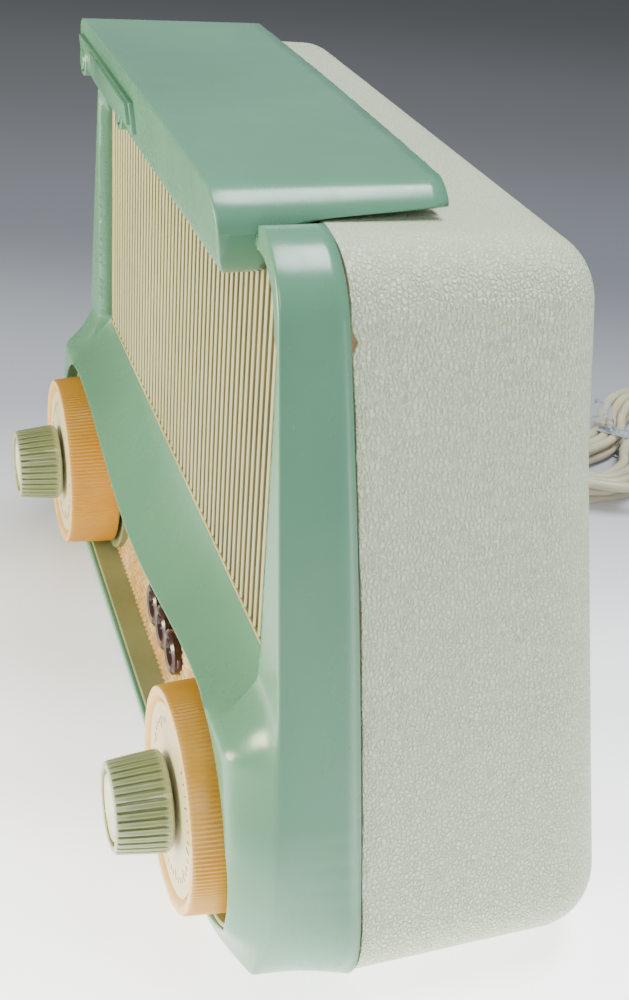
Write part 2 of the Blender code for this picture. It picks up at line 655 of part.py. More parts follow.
def toothed(name, x, radius, teeth, y0, y1, bore, shift, origin):
    """A gear of plain wedge teeth, a little below its pitch circle so that a pair runs free."""
    root, tip = radius - 1.1 * MM, radius + 0.5 * MM
    outline = []
    for i in range(teeth):
        for part, r in ((0.0, root), (0.3, root), (0.42, tip), (0.58, tip)):
            turn = 2 * math.pi * (i + part + shift) / teeth
            outline.append((x + r * math.cos(turn), DIAL_Z + r * math.sin(turn)))
    finish = material("brass_gear", (0.70, 0.52, 0.22), 0.35, 1.0)
    gear = prism(name, outline, y0, y1, finish, origin=origin)
    return combine(gear, rod("bore", (x, 0, DIAL_Z), bore, y0 - 2 * MM, y1 + 2 * MM, None, 20, cutters))


def tuning_drive():
    """The dial's tube turns a pinion, and that turns the gang capacitor's shaft by a larger gear."""
    y0, y1 = deep(43), deep(46)
    toothed("tuning_pinion", DIAL_X, PINION_R, 16, y0, y1, TUBE_R + GAP, 0.0, (DIAL_X, DIAL_Y, DIAL_Z))
    toothed("tuning_gear", GANG_X, GEAR_R, 24, y0, y1, SHAFT_R + GAP, 0.5, (GANG_X, DIAL_Y, DIAL_Z))
    half = 17 * MM
    low, high = (GANG_X - half, deep(52), DIAL_Z - 20 * MM), (GANG_X + half, deep(96), DIAL_Z + 20 * MM)
    gang = box("tuning_capacitor", low, high, steel())
    room_low = (low[0] + 1.5 * MM, low[1] + 1.5 * MM, low[2] + 1.5 * MM)
    room_high = (high[0] - 1.5 * MM, high[1] - 1.5 * MM, high[2] + 5 * MM)
    combine(gang, box("room", room_low, room_high, None, cutters))
    combine(gang, rod("hole", (GANG_X, 0, DIAL_Z), SHAFT_R + GAP, deep(40), deep(60), None, 16, cutters))
    for i in range(5):
        y = deep(60 + i * 7)
        near = (GANG_X - half + 1 * MM, y, low[2] + 1 * MM)
        far = (GANG_X + half - 1 * MM, y + 1 * MM, DIAL_Z - 4 * MM)
        combine(gang, box("fin", near, far, None, cutters), "UNION")
    rotor = rod("tuning_rotor", (GANG_X, 0, DIAL_Z), SHAFT_R, deep(42), deep(92), steel(), 16)
    for i in range(5):
        y = deep(63.5 + i * 7)
        half_disc = arc(GANG_X, DIAL_Z + 0.4 * MM, 14.5 * MM, 0, 180, 8)
        vane = prism("vane", half_disc, y - 0.5 * MM, y + 0.5 * MM, None, cutters)
        combine(rotor, vane, "UNION")
    return rotor


def controls():
    tube("tuning_tube", 1, 3 * MM, 49 * MM)
    tube("tone_tube", -1, 3 * MM, 46 * MM)
    bush("tuning_bush", 1)
    bush("tone_bush", -1)
    rod("band_shaft", (DIAL_X, 0, DIAL_Z), SHAFT_R, deep(-12.7), deep(78), steel(), 16)
    rod("volume_shaft", (-DIAL_X, 0, DIAL_Z), SHAFT_R, deep(-12.7), deep(66), steel(), 16)
    bakelite = material("bakelite", (0.08, 0.04, 0.02), 0.4)
    for name, side, y0, y1, radius, hole in (
        ("tone_control", -1, 42, 52, 13 * MM, TUBE_R),
        ("volume_control", -1, 54, 70, 13 * MM, SHAFT_R),
        ("band_switch", 1, 66, 82, 13 * MM, SHAFT_R),
    ):
        body = rod(name, (side * DIAL_X, 0, DIAL_Z), radius, deep(y0), deep(y1), bakelite, 20)
        low, high = deep(y0 - 5), deep(y1 - 1.5)
        combine(body, rod("bore", (side * DIAL_X, 0, DIAL_Z), hole + GAP, low, high, None, 20, cutters))
    through = rod("bore", (-DIAL_X, 0, DIAL_Z), SHAFT_R + GAP, deep(50), deep(55), None, 20, cutters)
    combine(bpy.data.objects["tone_control"], through)


# Chassis and what it carries

def chassis():
    wide = DECK_W / 2
    tray = box("chassis", (-wide, deep(37), 14 * MM), (wide, deep(38.3), DECK_Z), steel())
    low, high = (-wide, deep(37.5), DECK_Z - 1.3 * MM), (wide, deep(106), DECK_Z - 0.05 * MM)
    combine(tray, box("deck", low, high, None, cutters), "UNION")
    for side in (-1, 1):
        hole = rod("hole", (side * DIAL_X, 0, DIAL_Z), 8 * MM + GAP, deep(30), deep(42), None, 24, cutters)
        combine(tray, hole)
        near, far = sorted((side * (wide - 1.3 * MM), side * (wide - 0.05 * MM)))
        low, high = (near, deep(37.6), 14.1 * MM), (far, deep(105.8), DECK_Z - 0.2 * MM)
        combine(tray, box("cheek", low, high, None, cutters), "UNION")
    return tray


def loudspeaker():
    """A basket, a paper cone and a magnet, each a turned profile of (radius, depth behind the dials)."""
    basket = ((50, 35.6), (54, 35.6), (54, 37), (51, 38), (24, 61), (12, 61), (12, 59.5), (23, 59.5), (49.5, 37))
    cone = ((46, 36), (47.5, 36), (16, 58), (0, 58), (0, 57), (15, 57))
    magnet = ((0, 61.4), (24, 61.4), (24, 78), (0, 78))
    paper = material("paper", (0.10, 0.09, 0.08), 0.9)
    for name, profile, finish in (
        ("speaker_basket", basket, steel()),
        ("speaker_cone", cone, paper),
        ("speaker_magnet", magnet, steel()),
    ):
        profile = [(radius * MM, -behind * MM) for radius, behind in profile]
        turned(name, profile, (0, deep(0), SPEAKER_Z), finish, 24)


def transformer(name, x, y, wide, tall, thick):
    low, high = (x - wide / 2, y - thick / 2, DECK_Z + GAP), (x + wide / 2, y + thick / 2, DECK_Z + tall)
    core = box(name, low, high, steel())
    grown = thick / 2 + 6 * MM
    low, high = (x - wide / 4, y - grown, DECK_Z + tall * 0.2), (x + wide / 4, y + grown, DECK_Z + tall * 0.8)
    return combine(core, box("coil", low, high, None, cutters), "UNION")


def deck_pieces():
    transformer("mains_transformer", 98 * MM, deep(78), 46 * MM, 44 * MM, 26 * MM)
    transformer("output_transformer", -104 * MM, deep(78), 34 * MM, 32 * MM, 18 * MM)
    post("smoothing_capacitor", -70 * MM, deep(90), 12.5 * MM, DECK_Z + GAP, DECK_Z + 56 * MM, steel(), 20)
    glass = material("glass", (0.30, 0.32, 0.33), 0.1)
    for i in range(4):
        x, y = (-38 + i * 27) * MM, deep(92)
        profile = ((0, 47), (1.5, 45), (7, 42), (9.5, 38), (9.5, 6), (11, 6), (11, 0), (0, 0))
        profile = [(radius * MM, height * MM) for radius, height in profile]
        turned(f"valve_{i + 1}", profile, (x, y, DECK_Z + GAP), glass, 16, up=True)


# Mains lead: out of the rear cover, down to the table, and folded in a tied hank behind the set

def smooth_route(points, step):
    """Points a step apart along a Catmull-Rom curve through the given points."""
    ends = [points[0] * 2 - points[1]] + points + [points[-1] * 2 - points[-2]]
    made = [points[0]]
    for a, b, c, d in zip(ends, ends[1:], ends[2:], ends[3:]):
        pieces = max(round((c - b).length / step), 1)
        for i in range(1, pieces + 1):
            t = i / pieces
            point = b * 2 + (c - a) * t + (a * 2 - b * 5 + c * 4 - d) * t**2 + (b * 3 - a - c * 3 + d) * t**3
            made.append(point / 2)
    return made


def along_hank():
    """The direction of the hank's length, towards the end where the lead joins it."""
    turn = math.radians(HANK_TURN)
    return Vector((math.cos(turn), math.sin(turn), 0))


def hank_place():
    middle = Vector((HANK_X, DIAL_Y + HANK_BACK, 0))
    return Matrix.Translation(middle) @ Matrix.Rotation(math.radians(HANK_TURN), 4, "Z")


def lead_route(start):
    """The lead drops from the gland, settles on the table and curls round to the hank's end."""
    x, y, z = start
    end = hank_place() @ Vector((HANK_LONG / 2 + GAP, 0, CORD_R + 1 * MM))
    return [
        Vector((x, y, z)),
        Vector((x, y + 12 * MM, z - 1.5 * MM)),
        Vector((x + 1 * MM, y + 25 * MM, z - 12 * MM)),
        Vector((x + 1.5 * MM, y + 38 * MM, 17 * MM)),
        Vector((x + 0.5 * MM, y + 52 * MM, CORD_R + 2.5 * MM)),
        Vector((x - 5 * MM, y + 66 * MM, CORD_R + 1 * MM)),
        end + along_hank() * 14 * MM,
        end,
    ]


def mains_lead():
    rubber = material("beige_lead", (0.55, 0.50, 0.38), 0.5)
    face = rear_y(GLAND_Z - 8 * MM) + GAP
    gland = [(0, 0), (7 * MM, 0), (7 * MM, 3 * MM), (5 * MM, 4 * MM), (3.2 * MM, GLAND_LONG), (0, GLAND_LONG)]
    gland = [(r, -back) for r, back in gland]
    turned("cord_gland", gland, (GLAND_X, face, GLAND_Z), rubber, 16)
    points = smooth_route(lead_route((GLAND_X, face + GLAND_LONG + GAP, GLAND_Z)), 12 * MM)
    curve = bpy.data.curves.new("mains_cord", "CURVE")
    curve.dimensions = "3D"
    curve.bevel_depth = CORD_R
    curve.bevel_resolution = 2
    curve.use_fill_caps = True
    spline = curve.splines.new("POLY")
    spline.points.add(len(points) - 1)
    for target, point in zip(spline.points, points):
        target.co = (*point, 1)
    curve.materials.append(rubber)
    parts.objects.link(bpy.data.objects.new("mains_cord", curve))


def flat_block(name, outline, z0, z1, finish, collection=None):
    """An outline in the hank's own axes, carried upwards."""
    place = hank_place()
    rings = [[place @ Vector((x, y, z)) for x, y in outline] for z in (z0, z1)]
    return loft(name, rings, finish, collection, closed=False)


def oblong(x, y, long, wide):
    """The corners of a rectangle with this centre."""
    return [(x + i * long / 2, y + j * wide / 2) for i, j in ((-1, -1), (1, -1), (1, 1), (-1, 1))]


def hank():
    flat, end = (HANK_LONG - HANK_WIDE) / 2, HANK_WIDE / 2
    outline = arc(flat, 0, end, -90, 90, 8) + arc(-flat, 0, end, 90, 270, 8)
    flat_block("cord_hank", outline, 1.4 * MM, HANK_TALL, bpy.data.materials["beige_lead"])
    film, clear = 1.2 * MM, material("tie", (0.8, 0.85, 0.9), 0.3)
    band = oblong(0, 0, 8 * MM, HANK_WIDE + 2 * film)
    tie = flat_block("cord_tie", band, 0.2 * MM, HANK_TALL + film, clear)
    room = oblong(0, 0, 18 * MM, HANK_WIDE + 2 * GAP)
    combine(tie, flat_block("tie_room", room, 1.1 * MM, HANK_TALL + GAP, None, cutters))


def plug():
    """A two-pin plug that lies beside the hank."""
    x, y, z, pin_gap = -30 * MM, HANK_WIDE / 2 + 13.5 * MM, 11 * MM, 13.3 * MM
    long, wide = 38 * MM, 24 * MM
    finish = material("plug", (0.6, 0.5, 0.35), 0.4)
    body = flat_block("mains_plug", oblong(x, y, long, wide), 0.2 * MM, 2 * z, finish)
    place = hank_place()
    for side in (-0.5, 0.5):
        root = place @ Vector((x - long / 2 + 3 * MM, y + side * pin_gap, z))
        tip = place @ Vector((x - long / 2 - 21 * MM, y + side * pin_gap, z))
        combine(body, cylinder("pin", root, tip, 2.2 * MM, None, 10, cutters), "UNION")


def build():
    clear()
    front_frame()
    grille_panel()
    window_surround()
    speaker_cloth()
    front_ornament()
    baffle_board()
    handle()
    handle_hinges()
    handle_plaque()
    case()
    rear_cover()
    feet()
    for name, knob_name, side in (("tuning_dial", "band_knob", 1), ("tone_dial", "volume_knob", -1)):
        dial(name, side)
        knob(knob_name, side)
    tuning_drive()
    controls()
    chassis()
    loudspeaker()
    deck_pieces()
    mains_lead()
    hank()
    plug()


build()
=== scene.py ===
"""The finished look of a table radio of the 1950s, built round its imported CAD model."""

import json
import math
import random

import bmesh
import bpy
from mathutils import Matrix, Vector, kdtree, noise
from mathutils.geometry import delaunay_2d_cdt


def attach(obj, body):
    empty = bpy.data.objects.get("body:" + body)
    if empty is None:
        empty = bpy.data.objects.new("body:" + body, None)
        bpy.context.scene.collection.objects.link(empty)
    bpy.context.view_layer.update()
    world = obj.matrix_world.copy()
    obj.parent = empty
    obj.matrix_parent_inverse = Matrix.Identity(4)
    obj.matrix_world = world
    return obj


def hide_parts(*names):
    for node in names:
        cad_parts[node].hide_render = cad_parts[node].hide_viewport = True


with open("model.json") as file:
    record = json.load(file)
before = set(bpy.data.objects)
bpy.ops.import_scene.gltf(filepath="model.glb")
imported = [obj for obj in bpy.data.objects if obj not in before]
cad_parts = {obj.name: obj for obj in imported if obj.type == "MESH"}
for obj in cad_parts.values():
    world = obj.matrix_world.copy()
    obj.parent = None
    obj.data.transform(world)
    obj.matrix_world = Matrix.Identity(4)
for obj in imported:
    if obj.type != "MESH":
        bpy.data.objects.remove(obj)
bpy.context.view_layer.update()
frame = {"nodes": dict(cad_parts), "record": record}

MM = 0.001

# Main sizes, as in the CAD model
KNOB_REACH, REAR_REACH, REAR_LEAN = 17.5 * MM, 129 * MM, 17.5 * MM
BASE_Z, TOP_Z = 1.5 * MM, 220.5 * MM
REAR_R, TAPER, SEAM_STEP, TOP_TIGHTER = 22 * MM, 2.5 * MM, 1 * MM, 6 * MM
REAR_FOOT_Z = BASE_Z + SEAM_STEP + TAPER + REAR_R
COVER_INSET = 25.5 * MM
DIAL_X, DIAL_Z, DIAL_DEEP = 110.6 * MM, 44 * MM, 20 * MM
WIDE_AT_DIAL, SIDE_LEAN = 162.1 * MM, 0.204
LEAN, SLOPE = math.atan(SIDE_LEAN), math.sqrt(1 + SIDE_LEAN**2)
LEAN_DEG = math.degrees(LEAN)
CORNER_LOW, CORNER_TOP = 26 * MM, 22 * MM
TUCK_Z, TUCK_R, TOE_R = 69 * MM, 95 * MM, 7 * MM  # the moulding's front tucks in below TUCK_Z, to a small toe
LIP_LOW, LIP_HIGH, DISH_R = 27.5 * MM, 40 * MM, 40 * MM
WINDOW_FLOOR = DIAL_Z - 38.5 * MM
GRILLE_Z0, GRILLE_Z1, GRILLE_CORNER, GRILLE_FOOT_R = 100 * MM, 214 * MM, 16 * MM, 3 * MM
GRILLE_X, POST_TOP = 128 * MM, 5.2 * MM
HANDLE_X, HANDLE_Z1 = 106 * MM, 229 * MM
NOTCH_X, NOTCH_Z = HANDLE_X + 1.5 * MM, 217.5 * MM  # the notch in the front's top that the handle fills
GLAND_X, GLAND_Z, GLAND_LONG = -84 * MM, 44 * MM, 24 * MM
HANK_X, HANK_BACK, HANK_TURN = -154 * MM, 293 * MM, -47
HANK_LONG, HANK_WIDE = 140 * MM, 50 * MM
RIBS, RIB_REACH = 48, 125 * MM
CORD_R = 2.5 * MM


def rear_reach(z):
    return REAR_REACH - (z - BASE_Z) / (TOP_Z - BASE_Z) * REAR_LEAN


DIAL_Y = (KNOB_REACH - rear_reach(REAR_FOOT_Z)) / 2


def deep(mm):
    """The Y of a place this many millimetres behind the dials' front plane."""
    return DIAL_Y + mm * MM


HINGE_Y, HINGE_Z = deep(71.5), 223.8 * MM
CLOTH_FOOT_Y, CLOTH_FOOT_Z, CLOTH_RISE = deep(23.9), 4.9 * MM, 0.062
POST_Y, PANEL_Y, BELLY_Y, CHIN_Y = deep(20.5), deep(25), deep(8), deep(11.5)


def linked(name, data):
    """A new object in the scene."""
    obj = bpy.data.objects.new(name, data)
    bpy.context.scene.collection.objects.link(obj)
    return obj


def mesh_of(name, bm):
    mesh = bpy.data.meshes.new(name)
    bm.to_mesh(mesh)
    bm.free()
    return mesh


# Camera, solved from the two dials and the case's straight edges

YAW, PITCH, ROLL = (math.radians(a) for a in (18.79, 28.77, -4.32))
CAMERA_PLACE = (0.4522, DIAL_Y - 0.0767, 0.2967 + DIAL_Z)
LENS, SENSOR = 54, 36


def set_camera():
    ahead = Vector((-math.cos(YAW) * math.cos(PITCH), math.sin(YAW) * math.cos(PITCH), -math.sin(PITCH)))
    right = ahead.cross(Vector((0, 0, 1))).normalized()
    down = ahead.cross(right)
    across = right * math.cos(ROLL) + down * math.sin(ROLL)
    below = down * math.cos(ROLL) - right * math.sin(ROLL)
    data = bpy.data.cameras.new("camera")
    data.lens, data.sensor_width = LENS, SENSOR
    data.clip_start, data.clip_end = 0.01, 50
    camera = linked("camera", data)
    turn = Matrix((across, -below, -ahead)).transposed().to_4x4()
    camera.matrix_world = Matrix.Translation(CAMERA_PLACE) @ turn
    bpy.context.scene.camera = camera


set_camera()


# Materials

class Paint:
    """A material with its node tree at hand."""

    def __init__(self, name, rough, metallic=0.0, **sockets):
        self.material = bpy.data.materials.new(name)
        self.material.use_nodes = True
        self.tree = self.material.node_tree
        self.shader = self.tree.nodes["Principled BSDF"]
        self.shader.inputs["Roughness"].default_value = rough
        self.shader.inputs["Metallic"].default_value = metallic
        for socket, value in sockets.items():
            self.shader.inputs[socket.replace("_", " ")].default_value = value
        self.place = self.node("ShaderNodeTexCoord", "Object")

    def node(self, kind, output, inputs=None, **values):
        """One output of a new node. Each input is a number, a vector, a colour or another node's output."""
        made = self.tree.nodes.new(kind)
        for name, value in values.items():
            setattr(made, name, value)
        for key, value in (inputs or {}).items():
            socket = made.inputs[key]
            if isinstance(value, bpy.types.NodeSocket):
                self.tree.links.new(value, socket)
            else:
                socket.default_value = (*value, 1) if socket.type == "RGBA" else value
        return made.outputs[output]

    def into(self, socket, source):
        self.tree.links.new(source, self.shader.inputs[socket])

    def noise(self, scale, detail=3.0, rough=0.5, stretch=None, distortion=0.0):
        place = self.place
        if stretch:
            place = self.node("ShaderNodeMapping", "Vector", {"Scale": stretch, "Vector": place})
        inputs = {"Vector": place, "Scale": scale, "Detail": detail, "Roughness": rough}
        return self.node("ShaderNodeTexNoise", "Fac", {**inputs, "Distortion": distortion})

    def maths(self, operation, *values):
        return self.node("ShaderNodeMath", "Value", dict(enumerate(values)), operation=operation)

    def vector(self, operation, *values, output="Vector"):
        return self.node("ShaderNodeVectorMath", output, dict(enumerate(values)), operation=operation)

    def axis(self, letter):
        return self.node("ShaderNodeSeparateXYZ", letter, {"Vector": self.place})

    def range(self, value, low, high, to_low=0.0, to_high=1.0):
        limits = {"From Min": low, "From Max": high, "To Min": to_low, "To Max": to_high}
        return self.node("ShaderNodeMapRange", "Result", {"Value": value, **limits})

    def ramp(self, factor, stops, ease=False):
        made = self.tree.nodes.new("ShaderNodeValToRGB")
        made.color_ramp.interpolation = "EASE" if ease else "LINEAR"
        elements = made.color_ramp.elements
        while len(elements) < len(stops):
            elements.new(0.5)
        for element, (at, colour) in zip(elements, stops):
            element.position = at
            element.color = (*colour, 1)
        self.tree.links.new(factor, made.inputs["Fac"])
        return made.outputs["Color"]

    def mottle(self, dark, light, *noise):
        """A colour that drifts between these two."""
        return self.ramp(self.noise(*noise), [(0.3, dark), (0.7, light)])

    def mix(self, factor, a, b):
        return self.node("ShaderNodeMix", 2, {0: factor, 6: a, 7: b}, data_type="RGBA")

    def over(self, colour, patch, mask, amount):
        """The colour with a patch of another where the mask is, at this strength."""
        return self.mix(self.maths("MULTIPLY", mask, amount), colour, patch)

    def rough(self, low, high, *noise):
        """Drifts the roughness between these two."""
        self.into("Roughness", self.range(self.noise(*noise), 0.3, 0.7, low, high))

    def bump(self, height, distance, strength):
        inputs = {"Height": height, "Distance": distance, "Strength": strength}
        self.into("Normal", self.node("ShaderNodeBump", "Normal", inputs))


def green_plastic():
    """Glossy moulded urea with faint flow mottling, dust and fine handling marks."""
    p = Paint("green_moulding_look", 0.24)
    colour = p.mottle((0.092, 0.240, 0.148), (0.118, 0.280, 0.175), 9, 4, 0.55, (1, 1, 0.6), 0.6)
    dust = p.range(p.noise(900, 2, 0.6), 0.68, 0.80)
    colour = p.over(colour, (0.28, 0.42, 0.29), dust, 0.25)
    grime = p.range(p.noise(38, 5, 0.65), 0.56, 0.78)
    p.into("Base Color", p.over(colour, (0.11, 0.20, 0.13), grime, 0.22))
    p.into("Roughness", p.range(p.noise(55, 4, 0.6, (1, 1, 0.35)), 0.3, 0.75, 0.17, 0.34))
    p.bump(p.noise(260, 3, 0.55), 0.00010, 0.25)
    return p.material


def cream_plastic():
    """Cream ribs with gold at the bottom of the grooves, darkened there and up the flanks as painted shade,
    and a few brown specks.
    """
    p = Paint("cream_ribs_look", 0.38)
    # Below the crests the ribs turn dark gold: the gold ground, with painted shade in the grooves
    depth = p.range(p.axis("Y"), PANEL_Y + 0.00045, PANEL_Y + 0.00065)
    rib = p.mottle((0.34, 0.35, 0.16), (0.43, 0.44, 0.22), 14, 3, 0.5)
    gold = p.mottle((0.085, 0.060, 0.014), (0.15, 0.11, 0.032), 60, 3, 0.6)
    cells = p.node("ShaderNodeTexVoronoi", "Distance", {"Scale": 160, "Vector": p.place})
    speck = p.range(cells, 0.028, 0.018)
    p.into("Base Color", p.over(p.mix(depth, rib, gold), (0.16, 0.08, 0.04), speck, 0.5))
    p.rough(0.28, 0.46, 70, 3)
    p.bump(p.noise(420, 2), 0.00006, 0.3)
    return p.material


def olive_plastic():
    p = Paint("olive_lining_look", 0.42)
    colour = p.mottle((0.22, 0.26, 0.12), (0.30, 0.34, 0.17), 24, 4, 0.6)
    dust = p.range(p.noise(130, 4, 0.7), 0.52, 0.75)
    p.into("Base Color", p.over(colour, (0.36, 0.37, 0.22), dust, 0.35))
    p.rough(0.34, 0.55, 90, 3)
    p.bump(p.noise(500, 3), 0.00008, 0.3)
    return p.material


def leathercloth():
    """Coated cloth with a fine pebbled grain, painted shade in its hollows, and rubbed smooth along the top.
    """
    p = Paint("leathercloth_look", 0.42)
    colour = p.mottle((0.610, 0.690, 0.470), (0.680, 0.755, 0.535), 6, 4, 0.5)
    warp = p.node("ShaderNodeTexNoise", "Color", {"Scale": 420, "Vector": p.place})
    shifted = p.vector("MULTIPLY_ADD", warp, (0.0005, 0.0005, 0.0005), p.place)
    squeezed = p.vector("MULTIPLY", shifted, (1, 1.2, 0.86))
    to_edge = p.node(
        "ShaderNodeTexVoronoi", "Distance", {"Scale": 700, "Vector": squeezed}, feature="DISTANCE_TO_EDGE",
    )
    crease = p.range(to_edge, 0.01, 0.30)
    wrinkle = p.noise(700, 3, 0.55, None, 0.6)
    height = p.maths("ADD", crease, p.maths("MULTIPLY", wrinkle, 0.35))
    worn = p.range(p.axis("Z"), TOP_Z - 0.020, TOP_Z - 0.001)
    height = p.maths("MULTIPLY", height, p.maths("SUBTRACT", 1.0, p.maths("MULTIPLY", worn, 0.7)))
    # Painted shade: the grain's hollows are darkened
    grain_hollow_shade = p.range(height, 0.25, 0.95, 1.0, 0.0)
    colour = p.over(colour, (0.38, 0.43, 0.29), grain_hollow_shade, 0.5)
    dirt = p.range(p.noise(12, 5, 0.65), 0.58, 0.80)
    p.into("Base Color", p.over(colour, (0.55, 0.52, 0.34), dirt, 0.20))
    p.rough(0.36, 0.50, 30, 3)
    p.bump(height, 0.00055, 0.9)
    return p.material


def amber_plastic():
    """Amber, worn pale on the rim's front edge. Z is forward in a dial's own axes."""
    p = Paint("amber_dial_look", 0.36, Subsurface_Weight=0.12, Subsurface_Scale=0.004)
    p.shader.inputs["Subsurface Radius"].default_value = (1.0, 0.45, 0.2)
    colour = p.mottle((0.66, 0.30, 0.022), (0.78, 0.41, 0.05), 32, 4, 0.6)
    front = p.range(p.axis("Z"), -0.0014, 0.0002)
    wear = p.maths("MULTIPLY_ADD", p.range(p.noise(240, 4, 0.7), 0.40, 0.62), 0.5, 0.4)
    p.into("Base Color", p.over(colour, (0.84, 0.62, 0.32), front, wear))
    p.bump(p.noise(700, 3), 0.00007, 0.3)
    return p.material


def ivory_face():
    p = Paint("dial_face_look", 0.4)
    p.into("Base Color", p.mottle((0.62, 0.52, 0.27), (0.76, 0.68, 0.43), 45, 4, 0.65))
    p.bump(p.noise(600, 3), 0.00006, 0.3)
    return p.material


def sage_plastic():
    """Grey-green, worn pale along the edges that stand out."""
    p = Paint("sage_knob_look", 0.36)
    colour = p.mottle((0.146, 0.188, 0.070), (0.195, 0.241, 0.099), 60, 4, 0.6)
    tip = p.range(p.node("ShaderNodeNewGeometry", "Pointiness"), 0.505, 0.56)
    p.into("Base Color", p.over(colour, (0.56, 0.60, 0.40), tip, 0.7))
    p.rough(0.28, 0.44, 90, 3)
    p.bump(p.noise(650, 3), 0.00006, 0.3)
    return p.material


def woven_gold():
    """Gold-brown cotton threads with paler, frayed places, and painted shade where the weave is deepest."""
    p = Paint("gold_weave_look", 0.75)
    tone = p.mottle((0.34, 0.18, 0.045), (0.60, 0.37, 0.12), 420, 3, 0.6)
    frayed = p.range(p.noise(60, 4, 0.6), 0.5, 0.7)
    tone = p.over(tone, (0.88, 0.74, 0.50), frayed, 0.45)
    rise = p.maths("MULTIPLY", p.axis("Z"), CLOTH_RISE)
    plane = p.maths("ADD", rise, CLOTH_FOOT_Y - CLOTH_RISE * CLOTH_FOOT_Z)
    relief = p.maths("SUBTRACT", plane, p.axis("Y"))
    # Painted shade: the threads turn dark brown where the relief sinks deepest
    p.into("Base Color", p.mix(p.range(relief, 0.0015, 0.0006), tone, (0.10, 0.040, 0.010)))
    p.bump(p.noise(2600, 2, 0.5), 0.0001, 0.6)
    return p.material


def metal(name, colour, rough, dull=(0.25, 0.23, 0.20)):
    p = Paint(name, rough, 1.0)
    stain = p.range(p.noise(70, 5, 0.7), 0.45, 0.75)
    p.into("Base Color", p.over(colour, dull, stain, 0.5))
    p.rough(rough * 0.8, min(rough * 1.35, 1), 160, 3)
    p.bump(p.noise(900, 2), 0.00003, 0.3)
    return p.material


def plain(name, colour, rough, grain=400, vary=0.25, bump=0.00008, **sockets):
    """An even material with colour variation and a fine grain."""
    p = Paint(name, rough, **sockets)
    dark = tuple(c * (1 - vary) for c in colour)
    light = tuple(min(c * (1 + vary), 1) for c in colour)
    p.into("Base Color", p.mottle(dark, light, grain / 12, 4, 0.6))
    p.rough(rough * 0.85, min(rough * 1.15, 1), grain / 5, 3)
    p.bump(p.noise(grain, 3), bump, 0.4)
    return p.material


def wood(name, colour, along=(1, 14, 14)):
    p = Paint(name, 0.65)
    grain = p.noise(10, 6, 0.65, along, 0.8)
    p.into("Base Color", p.ramp(grain, [(0.3, tuple(c * 0.6 for c in colour)), (0.65, colour)]))
    p.bump(grain, 0.0002, 0.4)
    return p.material


GREEN = green_plastic()
GREY = plain("worn_edge_look", (0.50, 0.52, 0.46), 0.5, 300)
CREAM = cream_plastic()
OLIVE = olive_plastic()
SKIN = leathercloth()
AMBER = amber_plastic()
IVORY = ivory_face()
SAGE = sage_plastic()
STEEL = metal("plated_steel_look", (0.62, 0.60, 0.55), 0.34)
BRASS = metal("brass_look", (0.78, 0.60, 0.28), 0.28, (0.35, 0.22, 0.10))
BAKELITE = plain("bakelite_look", (0.045, 0.022, 0.012), 0.3, 300)
FELT = plain("felt_look", (0.09, 0.07, 0.055), 0.95, 1400, 0.4, 0.0004)
PAPER = plain("paper_cone_look", (0.05, 0.045, 0.04), 0.9, 900, 0.35, 0.0003)
BOARD = plain("fibreboard_look", (0.16, 0.085, 0.045), 0.8, 1300, 0.35, 0.0003)
PLYWOOD = wood("plywood_look", (0.50, 0.34, 0.19))
RUBBER = plain("lead_look", (0.50, 0.45, 0.31), 0.42, 500, 0.15, 0.00006)
PLUG = plain("plug_look", (0.47, 0.36, 0.22), 0.38, 300, 0.15)
TIE = plain("tie_look", (0.80, 0.86, 0.92), 0.12, 300, 0.05, 0.0001, Transmission_Weight=0.75, IOR=1.4)
CLOTH = woven_gold()
STRIP = plain("grille_border_look", (0.42, 0.34, 0.15), 0.5, 300, 0.3)
# Painted shadow: a dark green that stands in for shade in the plaque and the screw slots
SHADE_GREEN = plain("shadow_green_look", (0.05, 0.10, 0.07), 0.6, 300)
GOLD = plain("worn_gold_look", (0.30, 0.20, 0.07), 0.5, 300)
MARKS = plain("mark_ink_look", (0.06, 0.04, 0.025), 0.6, 900)
CAP = plain("knob_cap_look", (0.70, 0.68, 0.58), 0.35, 300)
BROWN = plain("brown_ornament_look", (0.045, 0.018, 0.014), 0.16, 250, 0.5)


# Mesh tools

def add(name, mesh, finish, body="case", smooth=30, centre=None, tipped=False):
    """Makes the object, shades it smooth but for its sharp edges, and rides it on its body.

    tipped turns the mesh's own Z to the front.
    """
    if isinstance(mesh, bmesh.types.BMesh):
        mesh = mesh_of(name, mesh)
    obj = linked(name, mesh)
    if centre is not None:
        obj.location = centre
    if tipped:
        obj.rotation_euler = (math.pi / 2, 0, 0)
    bpy.context.view_layer.update()
    mesh.materials.append(finish)
    mesh.shade_smooth()
    if smooth:
        mesh.set_sharp_from_angle(angle=math.radians(smooth))
    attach(obj, body)
    return obj


def applied(obj):
    """Bakes the object's modifiers into its mesh."""
    graph = bpy.context.evaluated_depsgraph_get()
    graph.update()
    old = obj.data
    obj.data = bpy.data.meshes.new_from_object(obj.evaluated_get(graph))
    obj.modifiers.clear()
    bpy.data.meshes.remove(old)


def thicken(obj, thickness):
    step = obj.modifiers.new("shell", "SOLIDIFY")
    step.thickness = thickness
    step.offset = -1
    step.use_even_offset = True
    step.thickness_clamp = 1
    applied(obj)


def skinned(rings, closed=False, caps=True):
    """A bmesh that skins equal rings of points. closed joins the last ring to the first."""
    bm = bmesh.new()
    made = [[bm.verts.new(point) for point in ring] for ring in rings]
    count = len(made[0])
    pairs = list(zip(made, made[1:])) + ([(made[-1], made[0])] if closed else [])
    for one, two in pairs:
        for i in range(count):
            j = (i + 1) % count
            bm.faces.new((one[i], one[j], two[j], two[i]))
    if caps and not closed:
        bm.faces.new(made[0])
        bm.faces.new(made[-1])
    bmesh.ops.recalc_face_normals(bm, faces=bm.faces)
    return bm


def around(steps):
    """The turn of each of these even steps round a circle."""
    return [2 * math.pi * i / steps for i in range(steps)]


